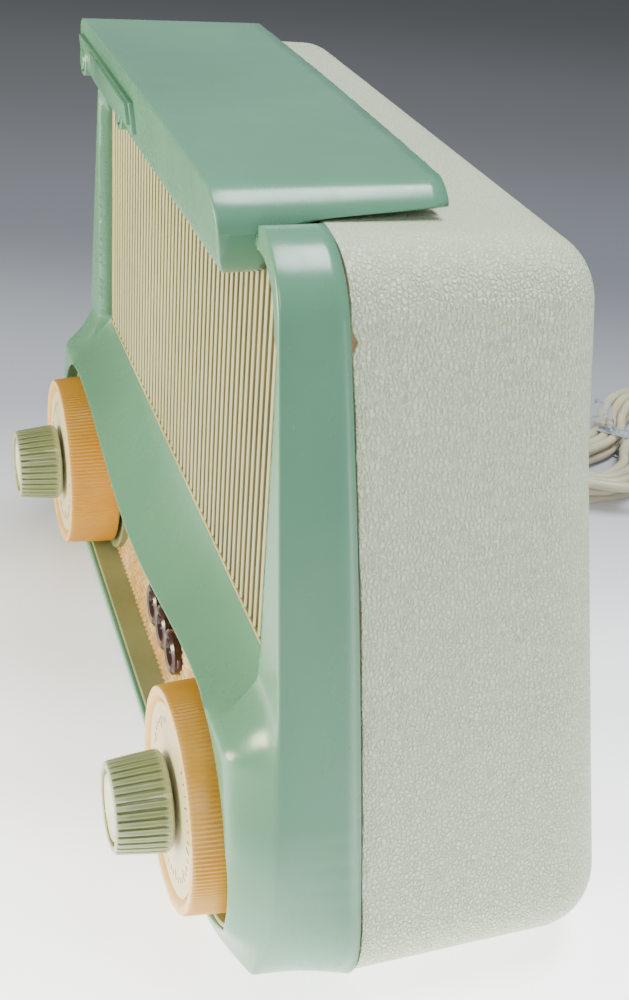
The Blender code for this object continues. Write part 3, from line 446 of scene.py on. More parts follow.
def turned(name, profile, centre, finish, body="case", steps=96, ridges=None, up=False):
    """A closed (radius, forward) profile in millimetres, turned about a front-to-back or an upright axis.

    ridges(turn, radius, forward) is added to the radius, all in metres.
    """
    profile = [(r * MM, f * MM) for r, f in profile]
    bm = bmesh.new()
    rings = []
    for turn in around(steps):
        ring = []
        for radius, forward in profile:
            r = radius + (ridges(turn, radius, forward) if ridges else 0.0)
            ring.append(bm.verts.new((r * math.cos(turn), r * math.sin(turn), forward)))
        rings.append(ring)
    for one, two in zip(rings, rings[1:] + rings[:1]):
        for k, (radius, _) in enumerate(profile):
            m = (k + 1) % len(profile)
            if radius < 1e-6 and profile[m][0] < 1e-6:
                continue
            bm.faces.new((one[k], one[m], two[m], two[k]))
    bmesh.ops.remove_doubles(bm, verts=bm.verts, dist=1e-7)
    bmesh.ops.dissolve_degenerate(bm, dist=1e-8, edges=bm.edges)
    bmesh.ops.recalc_face_normals(bm, faces=bm.faces)
    return add(name, bm, finish, body, 32, centre, not up)


def rounded_box(name, low, high, finish, radius, body="case", steps=3):
    bm = bmesh.new()
    bmesh.ops.create_cube(bm, size=1)
    low, high = Vector(low), Vector(high)
    bmesh.ops.scale(bm, vec=high - low, verts=bm.verts)
    bmesh.ops.translate(bm, vec=(low + high) / 2, verts=bm.verts)
    bmesh.ops.bevel(bm, geom=bm.edges, offset=radius, segments=steps, profile=0.5, affect="EDGES")
    return add(name, bm, finish, body)


def inside(point, outline):
    """Whether an (x, z) point is inside a closed outline."""
    x, z = point
    hit = False
    for (ax, az), (bx, bz) in zip(outline, outline[1:] + outline[:1]):
        if (az > z) != (bz > z) and x < (bx - ax) * (z - az) / (bz - az) + ax:
            hit = not hit
    return hit


def respaced(outline, step):
    """The closed outline again, with points at most a step apart."""
    made = []
    for (ax, az), (bx, bz) in zip(outline, outline[1:] + outline[:1]):
        count = max(1, math.ceil(math.hypot(bx - ax, bz - az) / step))
        made += [(ax + (bx - ax) * i / count, az + (bz - az) * i / count) for i in range(count)]
    return made


def tree_of(points):
    """A search tree of (x, z) points."""
    tree = kdtree.KDTree(len(points))
    for i, (x, z) in enumerate(points):
        tree.insert((x, z, 0), i)
    tree.balance()
    return tree


# The rings of points round an outline in shares of its edge radius, and how far off the grid's points keep
EDGE_SHARES, CLEAR_OF_EDGE = (0.0, 0.08, 0.25, 0.5, 0.8, 1.0), 1.35
ROW_HIGH = 0.866  # the height of a row of even triangles
ON_OUTLINE, OUTLINE_STEP, LEAST_WALL, WALL_STEPS = 0.25 * MM, 0.4 * MM, 0.2 * MM, 5


def edge_points(outlines, edge_r):
    """The rounded edges' points, how far back each is, the outlines as pairs of points, and as points."""
    points, depth, edges, own = [], [], [], []
    for outline in outlines:
        for share in EDGE_SHARES:
            line = outline(share * edge_r)
            if share == 0:
                start, count = len(points), len(line)
                edges += [(start + i, start + (i + 1) % count) for i in range(count)]
                own += line
            back = edge_r - math.sqrt(max(edge_r**2 - (edge_r * (1 - share)) ** 2, 0))
            points += [Vector(point) for point in line]
            depth += [back] * len(line)
    return points, depth, edges, own


def grow_wall(bm, edges, end_of):
    """Extrudes these edges backwards in even steps, each point as far as end_of(x, z) says."""
    starts = {vert: vert.co.y for edge in edges for vert in edge.verts}
    for step in range(1, WALL_STEPS + 1):
        grown = bmesh.ops.extrude_edge_only(bm, edges=edges)["geom"]
        fresh = {}
        for vert in [g for g in grown if isinstance(g, bmesh.types.BMVert)]:
            others = [edge.other_vert(vert) for edge in vert.link_edges]
            source = next(o for o in others if o in starts and (o.co - vert.co).length < 1e-9)
            first = fresh[vert] = starts[source]
            end = max(end_of(vert.co.x, vert.co.z), first + LEAST_WALL)
            vert.co.y = first + (end - first) * step / WALL_STEPS
        edges, starts = [g for g in grown if isinstance(g, bmesh.types.BMEdge)], fresh


def sheet_mesh(outlines, front, grid, edge_r, wall_end, cuts=(), drop=None):
    """A front surface with holes, its edges rounded, and walls running back from them.

    outlines: functions of an inset that give the outer edge first and then each hole. front(x, z) is the
    surface. wall_end(k, x, z) is how far back the wall of outline k reaches. cuts are lines that the faces
    follow. drop(x, z) leaves faces out.
    """
    points, depth, edges, own = edge_points(outlines, edge_r)
    near = tree_of(own)
    outer, *holes = [outline(0) for outline in outlines]
    (low_x, high_x), (low_z, high_z) = ((min(line), max(line)) for line in zip(*outer))
    row, z = 0, low_z
    while z < high_z:
        x = low_x + (grid / 2 if row % 2 else 0)
        while x < high_x:
            if near.find((x, z, 0))[2] > edge_r * CLEAR_OF_EDGE:
                points.append(Vector((x, z)))
                depth.append(0.0)
            x += grid
        row, z = row + 1, z + grid * ROW_HIGH
    for a, b in cuts:
        start = len(points)
        count = max(2, int((Vector(b) - Vector(a)).length / grid))
        points += [Vector(a).lerp(Vector(b), i / count) for i in range(count + 1)]
        depth += [0.0] * (count + 1)
        edges += [(start + i, start + i + 1) for i in range(count)]
    flat, _, faces, origins, _, _ = delaunay_2d_cdt(points, edges, [], 0, 1e-7)
    bm = bmesh.new()
    made = []
    for point, came in zip(flat, origins):
        back = max((depth[i] for i in came), default=0.0)
        made.append(bm.verts.new((point.x, front(point.x, point.y) + back, point.y)))
    for face in faces:
        middle = tuple(sum(flat[i][axis] for i in face) / len(face) for axis in (0, 1))
        outside = not inside(middle, outer) or any(inside(middle, hole) for hole in holes)
        if not outside and not (drop and drop(*middle)):
            bm.faces.new([made[i] for i in face])
    for vert in [v for v in bm.verts if not v.link_faces]:
        bm.verts.remove(vert)
    border = [edge for edge in bm.edges if len(edge.link_faces) == 1]
    for k, line in enumerate([outer, *holes]):
        tree = tree_of(respaced(line, OUTLINE_STEP))
        mine = [e for e in border if all(tree.find((v.co.x, v.co.z, 0))[2] < ON_OUTLINE for v in e.verts)]
        grow_wall(bm, mine, lambda x, z: wall_end(k, x, z))
    bmesh.ops.recalc_face_normals(bm, faces=bm.faces)
    foremost = min(bm.faces, key=lambda face: face.calc_center_median().y)
    if foremost.normal.y > 0:
        bmesh.ops.reverse_faces(bm, faces=bm.faces)
    return bm


# Shapes shared with the CAD model

def half_width(z):
    return WIDE_AT_DIAL - SIDE_LEAN * (z - DIAL_Z)


def arc(cx, cz, radius, start, end, steps):
    turn = [math.radians(start + (end - start) * i / steps) for i in range(steps + 1)]
    return [(cx + radius * math.cos(a), cz + radius * math.sin(a)) for a in turn]


def mirrored(right):
    return right + [(-x, z) for x, z in reversed(right)]


def top_corner(inset, steps):
    """The outline's right-hand corner at the top."""
    radius = max(CORNER_TOP - inset, 2 * MM)
    z = TOP_Z - inset - radius
    return arc(half_width(z) - (inset + radius) * SLOPE, z, radius, LEAN_DEG, 90, steps)


def case_outline(inset, steps=20):
    radius = max(CORNER_LOW - inset, 2 * MM)
    z = BASE_Z + inset + radius
    low = arc(half_width(z) - (inset + radius) * SLOPE, z, radius, -90, LEAN_DEG, steps)
    return mirrored(low + top_corner(inset, steps))


def seam_y(z):
    return deep(45) - ((z - BASE_Z) / (TOP_Z - BASE_Z)) ** 2 * 7 * MM


def rear_y(z):
    return DIAL_Y + rear_reach(z)


def tuck_centres():
    tuck = (half_width(TUCK_Z) - TUCK_R * math.cos(LEAN), TUCK_Z - TUCK_R * math.sin(LEAN))
    turn = math.asin((BASE_Z + TOE_R - tuck[1]) / (TUCK_R - TOE_R))
    toe = (tuck[0] + (TUCK_R - TOE_R) * math.cos(turn), BASE_Z + TOE_R)
    return tuck, toe, math.degrees(turn)


TUCK, TOE, TUCK_TURN = tuck_centres()


def front_outline(inset, steps=20):
    """The moulding's outline at its front: the sides tuck in towards a small toe at the base."""
    toe = arc(*TOE, TOE_R - inset, -90, TUCK_TURN, 8)
    return mirrored(toe + arc(*TUCK, TUCK_R - inset, TUCK_TURN, LEAN_DEG, 16)[1:] + top_corner(inset, steps))


def side_x(z):
    """The front outline's half width at this height."""
    if z >= TUCK_Z:
        return half_width(z)
    in_toe = z < TOE[1] + TOE_R * math.sin(math.radians(TUCK_TURN))
    centre, radius = (TOE, TOE_R) if in_toe else (TUCK, TUCK_R)
    return centre[0] + math.sqrt(max(radius**2 - (z - centre[1]) ** 2, 0))


def smooth(t):
    t = min(max(t, 0), 1)
    return t * t * (3 - 2 * t)


def lip_z(x):
    """The height of the curved lip over the window."""
    middle, swing = (LIP_LOW + LIP_HIGH) / 2, (LIP_HIGH - LIP_LOW) / 2
    return DIAL_Z + middle - swing * math.cos(math.pi * min(abs(x) / DIAL_X, 1))


def front_y(x, z):
    """The front's surface: belly and chin below the lip, and a ledge swept back to the grille above it."""
    x = abs(x)
    edge = POST_Y - 1.5 * MM * smooth((DIAL_Z + 32 * MM - z) / (74 * MM))
    below = smooth((DIAL_Z - z) / (42 * MM))
    belly = BELLY_Y + (CHIN_Y - BELLY_Y) * below
    lip = lip_z(x)
    if z > lip:
        turn_in = min(max(GRILLE_Z0 - 7 * MM - z, 0) / (16 * MM), 1)
        inner = GRILLE_X - 18 * MM * (1 - math.sqrt(1 - turn_in**2))
        on_post = max(smooth((x - inner + 1 * MM) / (2.4 * MM)), smooth((z - 180 * MM) / (20 * MM)))
        back = PANEL_Y - (PANEL_Y - POST_Y) * on_post
        rise = min((z - lip) / (GRILLE_Z0 - lip), 1)
        belly = back if z > GRILLE_Z0 else BELLY_Y + (back - BELLY_Y) * (1 - (1 - rise) ** 1.4)
    reach = (14 - 4 * smooth((lip - z) / (25 * MM)) + 22 * smooth((26 * MM - z) / (24 * MM))) * MM
    inwards = min(max((side_x(z) - x) / reach, 0), 1)
    return edge + (belly - edge) * math.sin(math.pi / 2 * inwards) if belly < edge else belly


def grille_outline(grow=0.0, steps=14):
    low, top_z = GRILLE_Z0 - grow, GRILLE_Z1 + grow - GRILLE_CORNER
    turn_z = DIAL_Z + (WIDE_AT_DIAL - POST_TOP - GRILLE_X) / SIDE_LEAN
    foot = arc(GRILLE_X + grow - GRILLE_FOOT_R, low + GRILLE_FOOT_R, GRILLE_FOOT_R, -90, 0, steps)
    top_x = half_width(top_z) - POST_TOP + grow - GRILLE_CORNER
    top = arc(top_x, top_z, GRILLE_CORNER, LEAN_DEG, 90, steps)
    return mirrored(foot + [(GRILLE_X + grow, turn_z)] + top)


def window_outline(grow=0.0, steps=48, lip_steps=40):
    floor, radius = WINDOW_FLOOR - grow, DISH_R + grow
    start = -math.degrees(math.asin(min((DIAL_Z - floor) / radius, 1)))
    xs = [DIAL_X * (1 - i / lip_steps) for i in range(1, lip_steps)]
    half = arc(DIAL_X, DIAL_Z, radius, start, 90, steps) + [(x, lip_z(x) + grow) for x in xs]
    return half + [(0, lip_z(0) + grow)] + [(-x, z) for x, z in reversed(half)]


def spaced(outline, step=1.6 * MM):
    return lambda inset: respaced(outline(inset), step)


# Front moulding

FLARE_X, FLARE_Z, FLARE_TOP, FLARE_START = 105 * MM, 58 * MM, 15 * MM, deep(19)


def polar(outline, parts=24):
    """Radius by angle about the flare's centre, for the lower right quarter of an outline."""
    found = []
    for (ax, az), (bx, bz) in zip(outline, outline[1:]):
        for i in range(parts):
            x, z = ax + (bx - ax) * i / parts - FLARE_X, az + (bz - az) * i / parts - FLARE_Z
            if x > -5 * MM and z < FLARE_TOP + 5 * MM:
                found.append((math.atan2(z, x), math.hypot(x, z)))
    return sorted(found)


def radius_at(table, angle):
    low, high = 0, len(table) - 1
    while high - low > 1:
        middle = (low + high) // 2
        low, high = (middle, high) if table[middle][0] <= angle else (low, middle)
    (a0, r0), (a1, r1) = table[low], table[high]
    part = 0 if a1 - a0 < 1e-9 else min(max((angle - a0) / (a1 - a0), 0), 1)
    return r0 + (r1 - r0) * part


FLARE_FRONT, FLARE_SEAM = polar(front_outline(0, 40)), polar(case_outline(0, 40))


def flared(x, y, z):
    """Carries the front outline's lower corner out to the seam's rounder one."""
    out_x, out_z = abs(x) - FLARE_X, z - FLARE_Z
    if out_x <= 0 or out_z >= FLARE_TOP:
        return x, z
    angle, length = math.atan2(out_z, out_x), math.hypot(out_x, out_z)
    back = min(max((y - FLARE_START) / (seam_y(z) - FLARE_START), 0), 1)
    grow = (radius_at(FLARE_SEAM, angle) - radius_at(FLARE_FRONT, angle)) * back
    return x + math.copysign(grow * out_x / length, x), z + grow * out_z / length


def subdivide_walls(bm, longer, cuts):
    """Divides the edges that run further back than this."""
    edges = [e for e in bm.edges if abs(e.verts[0].co.y - e.verts[1].co.y) > longer]
    bmesh.ops.subdivide_edges(bm, edges=edges, cuts=cuts, use_grid_fill=True)


def front_moulding():
    def wall_end(k, x, z):
        return (seam_y(z) - 0.3 * MM, deep(15), deep(26.6))[k]

    def in_notch(x, z):
        return abs(x) < NOTCH_X and z > NOTCH_Z
    cuts = [((s * NOTCH_X, 196 * MM), (s * NOTCH_X, 224 * MM)) for s in (-1, 1)]
    cuts.append(((-NOTCH_X, NOTCH_Z), (NOTCH_X, NOTCH_Z)))
    for side in (-1, 1):
        for across in (-1.2, -0.6, 0, 0.6, 1.2):
            cuts.append(tuple((side * (GRILLE_X + across * MM), z) for z in (92 * MM, GRILLE_Z0 - 1.5 * MM)))
    outlines = [spaced(outline) for outline in (front_outline, window_outline, grille_outline)]
    bm = sheet_mesh(outlines, front_y, 2.0 * MM, 0.9 * MM, wall_end, cuts, in_notch)
    subdivide_walls(bm, 12 * MM, 3)
    for vert in bm.verts:
        vert.co.x, vert.co.z = flared(*vert.co)
    body = add("front_moulding", bm, GREEN, smooth=40)
    thicken(body, 1.9 * MM)
    low, high = (-92 * MM, deep(17), 208 * MM), (92 * MM, deep(37.3), NOTCH_Z)
    rounded_box("front_top_rail", low, high, GREEN, 0.8 * MM)
    for side in (-1, 1):
        near, far = sorted((side * (NOTCH_X + 0.1 * MM), side * (NOTCH_X + 1.6 * MM)))
        low, high = (near, deep(21.4), NOTCH_Z - 1.5 * MM), (far, deep(37.2), TOP_Z - 0.8 * MM)
        rounded_box("front_notch_end", low, high, GREY, 0.2 * MM)
    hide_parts("front_frame")


front_moulding()


# Grille, cloth and the lower opening

def case_reach(z):
    """The case outline's half width in its rounded top corner."""
    centre_z = TOP_Z - CORNER_TOP
    centre = half_width(centre_z) - CORNER_TOP * SLOPE
    return centre + math.sqrt(max(CORNER_TOP**2 - max(z - centre_z, 0) ** 2, 0))


def grille_ribs():
    """Fine upright ribs with rounded crests on a gold ground darkened with painted shade, cut off by the
    leaning posts.
    """
    pitch, groove, back, crest = 2 * RIB_REACH / RIBS, deep(28.2), deep(29.6), deep(25.1)
    end, foot, rows = 140 * MM, GRILLE_Z0 - 1.5 * MM, 24
    section = [(-end, groove)]
    for i in range(RIBS):
        middle = -RIB_REACH + (i + 0.5) * pitch
        section.append((middle - 0.33 * pitch, groove))
        for degrees in range(15, 166, 25):
            turn = math.radians(degrees)
            section.append((middle - 0.22 * pitch * math.cos(turn), crest + (1 - math.sin(turn)) * 0.8 * MM))
        section.append((middle + 0.33 * pitch, groove))
    section += [(end, groove), (end, back), (-end, back)]
    rings = []
    for k in range(rows + 1):
        z = foot + k * (GRILLE_Z1 + 1 * MM - GRILLE_Z0) / rows
        reach = half_width(z) - 6 * MM
        if z > TOP_Z - CORNER_TOP:
            reach = min(reach, case_reach(z) - 5 * MM)
        rings.append([(max(min(x, reach + x * 0.001), -reach + x * 0.001), y, z) for x, y in section])
    ribs = add("grille_ribs", skinned(rings), CREAM, smooth=40)
    for side in (-1, 1):
        outer = side * (GRILLE_X + 1 * MM)
        inner = outer - side * 3.8 * MM
        line = ((outer, deep(25.6)), (inner, deep(25.8)), (inner, deep(26.6)), (outer, deep(26.6)))
        ring = [[(x, y, z) for x, y in line] for z in (foot, GRILLE_Z1 - 24 * MM)]
        add("grille_border", skinned(ring), STRIP)
    reach = GRILLE_X - 1 * MM
    low, high = (-reach, deep(25), GRILLE_Z0 - 1.4 * MM), (reach, deep(27), GRILLE_Z0 + 0.7 * MM)
    rounded_box("grille_sill", low, high, STRIP, 0.3 * MM)
    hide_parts("grille_panel")


def window_lining():
    """The olive lining under the lip, and a dished floor behind each dial, cut off at the window's floor."""
    loops = []
    for inset, y in ((0, 13.2), (0.2, 12.9), (0.9, 12.9), (1.3, 13.3), (1.5, 24), (0, 24)):
        loops.append([(x, deep(y), z) for x, z in window_outline(-(0.3 + inset) * MM)])
    lining = add("window_lining", skinned(loops, closed=True), OLIVE, smooth=40)
    floor = ((9.0, 22.8), (9.6, 21.6), (30, 21.4), (35, 21.4), (36.5, 20.9), (38.4, 20.9), (38.4, 23.2))
    for side in (-1, 1):
        rings = []
        for radius, y in floor:
            ring = []
            for turn in around(96):
                z = max(radius * math.sin(turn), -38.2)
                ring.append((side * DIAL_X + radius * MM * math.cos(turn), deep(y), DIAL_Z + z * MM))
            rings.append(ring)
        add("dial_floor", skinned(rings, caps=False), OLIVE, smooth=40)
    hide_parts("window_surround")


def woven_cloth():
    """Coarse cloth drawn over the baffle: threads that pass over and under each other in one relief."""
    wide, low, high, step = 198 * MM, CLOTH_FOOT_Z, 87 * MM, 3.3 * MM
    grid, radius, swing = 0.5 * MM, 1.5 * MM, 0.6 * MM
    columns, rows = round(wide / grid), round((high - low) / grid)

    def relief(x, z):
        x += 0.35 * MM * noise.noise((x * 30, z * 120, 1.0))
        z += 0.55 * MM * noise.noise((x * 45, z * 60, 5.0))
        c, r = round(x / step), round(z / step)
        heights = [0.0]
        for off, count, along in ((x - c * step, c, z), (z - r * step, r + 1, x)):
            wave = swing * math.cos(math.pi * (along / step + count))
            heights.append(wave + math.sqrt(max(radius**2 - off**2, 0)) * 0.9)
        return max(heights)
    verts, faces = [], []
    for j in range(rows + 1):
        for i in range(columns + 1):
            x, z = -wide / 2 + i * grid, low + j * grid
            verts.append((x, CLOTH_FOOT_Y + (z - low) * CLOTH_RISE - relief(x, z), z))
    for j in range(rows):
        for i in range(columns):
            k = j * (columns + 1) + i
            faces.append((k, k + 1, k + columns + 2, k + columns + 1))
    mesh = bpy.data.meshes.new("woven_cloth")
    mesh.from_pydata(verts, [], faces)
    cloth = add("woven_cloth", mesh, CLOTH, smooth=0)
    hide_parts("cloth_panel")


def ornament():
    """Three plain rings on a bar, in dark brown moulding."""
    z, y = DIAL_Z - 14 * MM, deep(22)
    low, high = (-25 * MM, y, z - 2.2 * MM), (25 * MM, y + 2 * MM, z + 2.2 * MM)
    bar = rounded_box("ornament_bar", low, high, BROWN, 0.9 * MM)
    profile = [(4.4, 0), (5.2, 1.5), (7.2, 1.9), (8.4, 1.0), (8.6, -1.4), (4.4, -1.4)]
    for x in (-16, 0, 16):
        turned("ornament_ring", profile, (x * MM, y + 0.4 * MM, z), BROWN, steps=48)
    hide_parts("front_ornament")


grille_ribs()
window_lining()
woven_cloth()
ornament()


# Handle

# How far behind the dials' front the side wall ends, by height, both in millimetres
HANDLE_WALL = (
    (203, 17.5), (203.6, 25), (216, 25.5), (218, 27), (221, 36), (222.2, 58), (223.2, 73.5), (230, 73.5),
)


def handle_y(z):
    """The front of the handle at this height: a slight lean, more towards the foot."""
    return deep(9.2) + 0.12 * (HANDLE_Z1 - z) + 30 * max(213 * MM - z, 0) ** 2


def handle_reach(z):
    """How far back the handle's side wall goes at this height."""
    z = z / MM
    for (z0, y0), (z1, y1) in zip(HANDLE_WALL, HANDLE_WALL[1:]):
        if z <= z1:
            return deep(y0 + (y1 - y0) * max(z - z0, 0) / (z1 - z0))
    return deep(HANDLE_WALL[-1][1])


def handle_outline(inset):
    foot = arc(91 * MM, 217.5 * MM, 14.5 * MM - inset, -90, 0, 16)
    top = arc(95 * MM, 218 * MM, 11 * MM - inset, 0, 90, 16)
    return respaced(mirrored(foot + top), 1.3 * MM)


def handle_box(name, low, high, finish, radius):
    return rounded_box(name, low, high, finish, radius, "handle")


def handle_shell():
    """The cap's shell, its top bowed and narrowing a little towards the hinge."""
    def wall_end(k, x, z):
        return handle_reach(z) + 0.25 * MM * noise.noise((x * 160, z * 300, 4.0))
    bm = sheet_mesh([handle_outline], lambda x, z: handle_y(z), 3 * MM, 0.7 * MM, wall_end)
    subdivide_walls(bm, 5 * MM, 2)
    for vert in bm.verts:
        back = max(vert.co.y - deep(12), 0) / (61 * MM)
        crown = min(max((vert.co.z - 214 * MM) / (12 * MM), 0), 1)
        vert.co.z -= crown * (0.9 * MM * abs(vert.co.x / HANDLE_X) ** 2 + 0.7 * MM * back)
        vert.co.x *= 1 - 0.03 * back
    shell = add("handle_shell", bm, GREEN, "handle", 40)
    thicken(shell, 1.8 * MM)
    low, high = (-86 * MM, deep(71.8), 221.6 * MM), (86 * MM, deep(73.6), 227 * MM)
    handle_box("handle_rear_lip", low, high, GREEN, 0.6 * MM)
    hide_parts("handle")


def handle_trim():
    """The raised strip and its two ringed bosses on the left half of the handle's front, with a dark block of
    painted shadow near the strip's left end.
    """
    face = handle_y(220 * MM)
    for name, x0, x1, out, under, z0, z1, finish, radius in (
        ("plaque_strip", -99, -3, 1.7, -1, 212.2, 222.4, GREEN, 0.5),
        ("plaque_bar", -62, -3.4, 3.1, 0.9, 215.2, 222, GREEN, 0.4),
        # A dark block of painted shadow, not a real window
        ("plaque_shadow_block", -74, -64.5, 2, 1, 217.6, 221.8, SHADE_GREEN, 0.2),
    ):
        low, high = (x0 * MM, face - out * MM, z0 * MM), (x1 * MM, face - under * MM, z1 * MM)
        obj = handle_box(name, low, high, finish, radius * MM)
        for vert in obj.data.vertices:
            world = obj.matrix_world @ vert.co
            vert.co.y += handle_y(world.z) - face
    boss_z, seat = 214.8 * MM, handle_y(214.5 * MM) + 0.3 * MM
    for x in (-92, -21):
        for name, inner, outer, out, finish in (
            ("plaque_boss", 0, 3.4, 3.0, GREEN), ("plaque_groove", 3.4, 4.1, 1.9, GOLD),
            ("plaque_ring", 4.1, 5.6, 2.6, GREEN),
        ):
            profile = [(inner, out), (outer - 0.3, out), (outer, out - 0.3), (outer, 0), (inner, 0)]
            turned(name, profile, (x * MM, seat, boss_z), finish, "handle", 40)
    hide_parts("handle_plaque")


def hinge_pieces():
    """Short pins through the brackets into the handle's side walls."""
    for side, word in ((-1, "left"), (1, "right")):
        bm = bmesh.new()
        place = Matrix.Translation((side * 95 * MM, HINGE_Y, HINGE_Z)) @ Matrix.Rotation(math.pi / 2, 4, "Y")
        bmesh.ops.create_cone(
            bm, cap_ends=True, segments=24, radius1=1 * MM, radius2=1 * MM, depth=7 * MM, matrix=place
        )
        pin = add(f"hinge_pin_{word}", bm, STEEL)
        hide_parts(f"handle_pin_{word}")


handle_shell()
handle_trim()
hinge_pieces()


# Case

def case_points(inset, steps=20, parts=60):
    """The case outline with its straight runs divided."""
    outline = case_outline(inset, steps)
    made = []
    for (ax, az), (bx, bz) in zip(outline, outline[1:] + outline[:1]):
        count = parts if math.hypot(bx - ax, bz - az) > 60 * MM else 1
        made += [(ax + (bx - ax) * i / count, az + (bz - az) * i / count) for i in range(count)]
    return made


def torn(x, z, under):
    """The covering's front edge: a wavering turn, with a nick at the right near the top."""
    nick = 1.9 * MM * math.exp(-(((z - 197.5 * MM) / (1.5 * MM)) ** 2)) if x > 0 else 0
    waver = 0.35 * MM * noise.noise((x * 60, z * 60, 7.0)) + 0.18 * MM * noise.noise((x * 400, z * 400, 3.0))
    return 0.5 * MM + waver + nick if under < 1 * MM else 0.0


def shell_ring(under, along, turn=0.0, rim=None):
    """One ring of the case's skin; its rear edge is tighter towards the top."""
    sets = []
    for radius in (REAR_R - under, REAR_R - TOP_TIGHTER - under):
        inset = SEAM_STEP + under + TAPER * along + radius * (1 - math.cos(turn))
        sets.append([(x, z, radius) for x, z in case_points(inset if rim is None else rim)])
    made = []
    for (ax, az, ar), (bx, bz, br) in zip(*sets):
        tight = smooth((az - 150 * MM) / (60 * MM))
        x, z, radius = (a + (b - a) * tight for a, b in ((ax, bx), (az, bz), (ar, br)))
        front, rear = seam_y(z) + torn(x, z, under), rear_y(z) - under - radius
        made.append((x, front + (rear - front) * along + radius * math.sin(turn), z))
    return made


def covering():
    """The covering with rounded front and rear edges, turned in over the rear rim."""
    rings = [shell_ring(under * MM, along) for under, along in ((0.9, 0), (0.5, 0), (0.1, 0.002), (0, 0.01))]
    rings += [shell_ring(0, i / 12) for i in range(1, 13)]
    rings += [shell_ring(0, 1, math.radians(a)) for a in range(6, 91, 6)]
    rings += [shell_ring(0, 1, math.pi / 2, COVER_INSET - 0.2 * MM)]
    rings += [shell_ring(0.9 * MM, 1, math.radians(a)) for a in range(90, -1, -30)]
    skin = add("leathercloth_cover", skinned(rings, closed=True), SKIN, smooth=45)
    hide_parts("case_covering")


def pierced(panel):
    """Cuts three columns of six slots through the panel."""
    cutter = bmesh.new()
    for row in range(6):
        for column in (-1, 0, 1):
            x, z = column * 62 * MM, (70 + row * 19) * MM
            stadium = arc(x + 20 * MM, z, 2.2 * MM, -90, 90, 8) + arc(x - 20 * MM, z, 2.2 * MM, 90, 270, 8)
            near, far = [[cutter.verts.new((px, y, pz)) for px, pz in stadium] for y in (deep(90), deep(150))]
            for i in range(len(stadium)):
                j = (i + 1) % len(stadium)
                cutter.faces.new((near[i], near[j], far[j], far[i]))
            cutter.faces.new(near)
            cutter.faces.new(far)
    bmesh.ops.recalc_face_normals(cutter, faces=cutter.faces)
    tool = linked("slots", mesh_of("slots", cutter))
    panel.modifiers.new("slots", "BOOLEAN").object = tool
    applied(panel)
    bpy.data.objects.remove(tool, do_unlink=True)


def rear_panel():
    """A pierced fibreboard panel and its slotted screws, each slot a dark strip of painted shade on the head.
    """
    rings = []
    for inset, proud in ((0.6, -2.3), (0, -1.9), (0, -0.7), (0.5, -0.3)):
        rings.append([(x, rear_y(z) + proud * MM, z) for x, z in case_points(COVER_INSET + inset * MM)])
    panel = add("rear_panel", skinned(rings), BOARD, smooth=40)
    pierced(panel)
    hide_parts("rear_cover")
    profile = [(0, -0.95), (1.6, -0.8), (2.8, -0.4), (3.4, 0.2), (3.4, 0.7), (1.6, 0.7), (1.6, 6), (0, 6)]
    places = [(side, z * MM) for z in (37, 190) for side in (-1, 1)]
    for i, (side, z) in enumerate(places, 1):
        x, y = side * (half_width(z) - 30 * MM), rear_y(z)
        screw = turned(f"rear_screw_{i}", profile, (x, y + 0.1 * MM, z), STEEL, steps=32)
        # Painted shade: a thin dark strip on each head stands in for the slot
        low = (x - 2.6 * MM, y + 0.7 * MM, z - 0.35 * MM)
        high = (x + 2.6 * MM, y + 1.05 * MM, z + 0.35 * MM)
        rounded_box("screw_slot_shade", low, high, SHADE_GREEN, 0.1 * MM, steps=1)
        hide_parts(f"rear_cover_screw_{i}")


def felt_feet():
    profile = [(0, 0), (6.4, 0), (7, 0.5), (7, 1.9), (6.6, 2.4), (0, 2.4)]
    places = [(x * MM, deep(y), 0) for x in (-92, 92) for y in (52, 98)]
    for i, place in enumerate(places, 1):
        pad = turned(f"felt_pad_{i}", profile, place, FELT, steps=32, up=True)
        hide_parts(f"foot_{i}")


covering()
rear_panel()
felt_feet()


# Dials and knobs

RIDGES, FLUTES, STEPS_A_FLUTE = 150, 34, 10


def dial(side, body):
    """A deep, finely ribbed amber rim round a shallow cream face."""
    hub, bore, back = 8.5, 5.3, -DIAL_DEEP / MM
    profile = [
        (bore, -2.6), (28.8, -2.6), (29.6, -2.2), (31.2, -0.5), (32.0, -0.1), (33.2, 0), (33.9, -0.35),
        (34.05, -1.1), (34.15, -2.5), (34.4, -6), (34.7, -10), (34.9, -14), (35.1, back + 2),
        (35.0, back + 0.5), (34.5, back), (32.2, back), (31.5, -5), (hub, -5), (hub, -9), (bore, -9),
    ]

    def ridge(turn, radius, forward):
        edge = 33.6 * MM < radius and -DIAL_DEEP + 1 * MM < forward < -0.6 * MM
        return 0.17 * MM * math.cos(turn * RIDGES) if edge else 0.0
    centre = (side * DIAL_X, DIAL_Y, DIAL_Z)
    name = "tuning" if side > 0 else "tone"
    rim = turned(f"{name}_dial_rim", profile, centre, AMBER, body, RIDGES * 6, ridge)
    face = [
        (5.6, -1.2), (9, -1.0), (17, -1.3), (27.4, -1.35), (28.6, -1.15), (29.2, -1.15), (29.2, -2.3),
        (5.6, -2.3),
    ]
    disc = turned(f"{name}_dial_disc", face, centre, IVORY, body, 128)
    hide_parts(f"{name}_dial")
    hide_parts(f"{name}_dial_face")


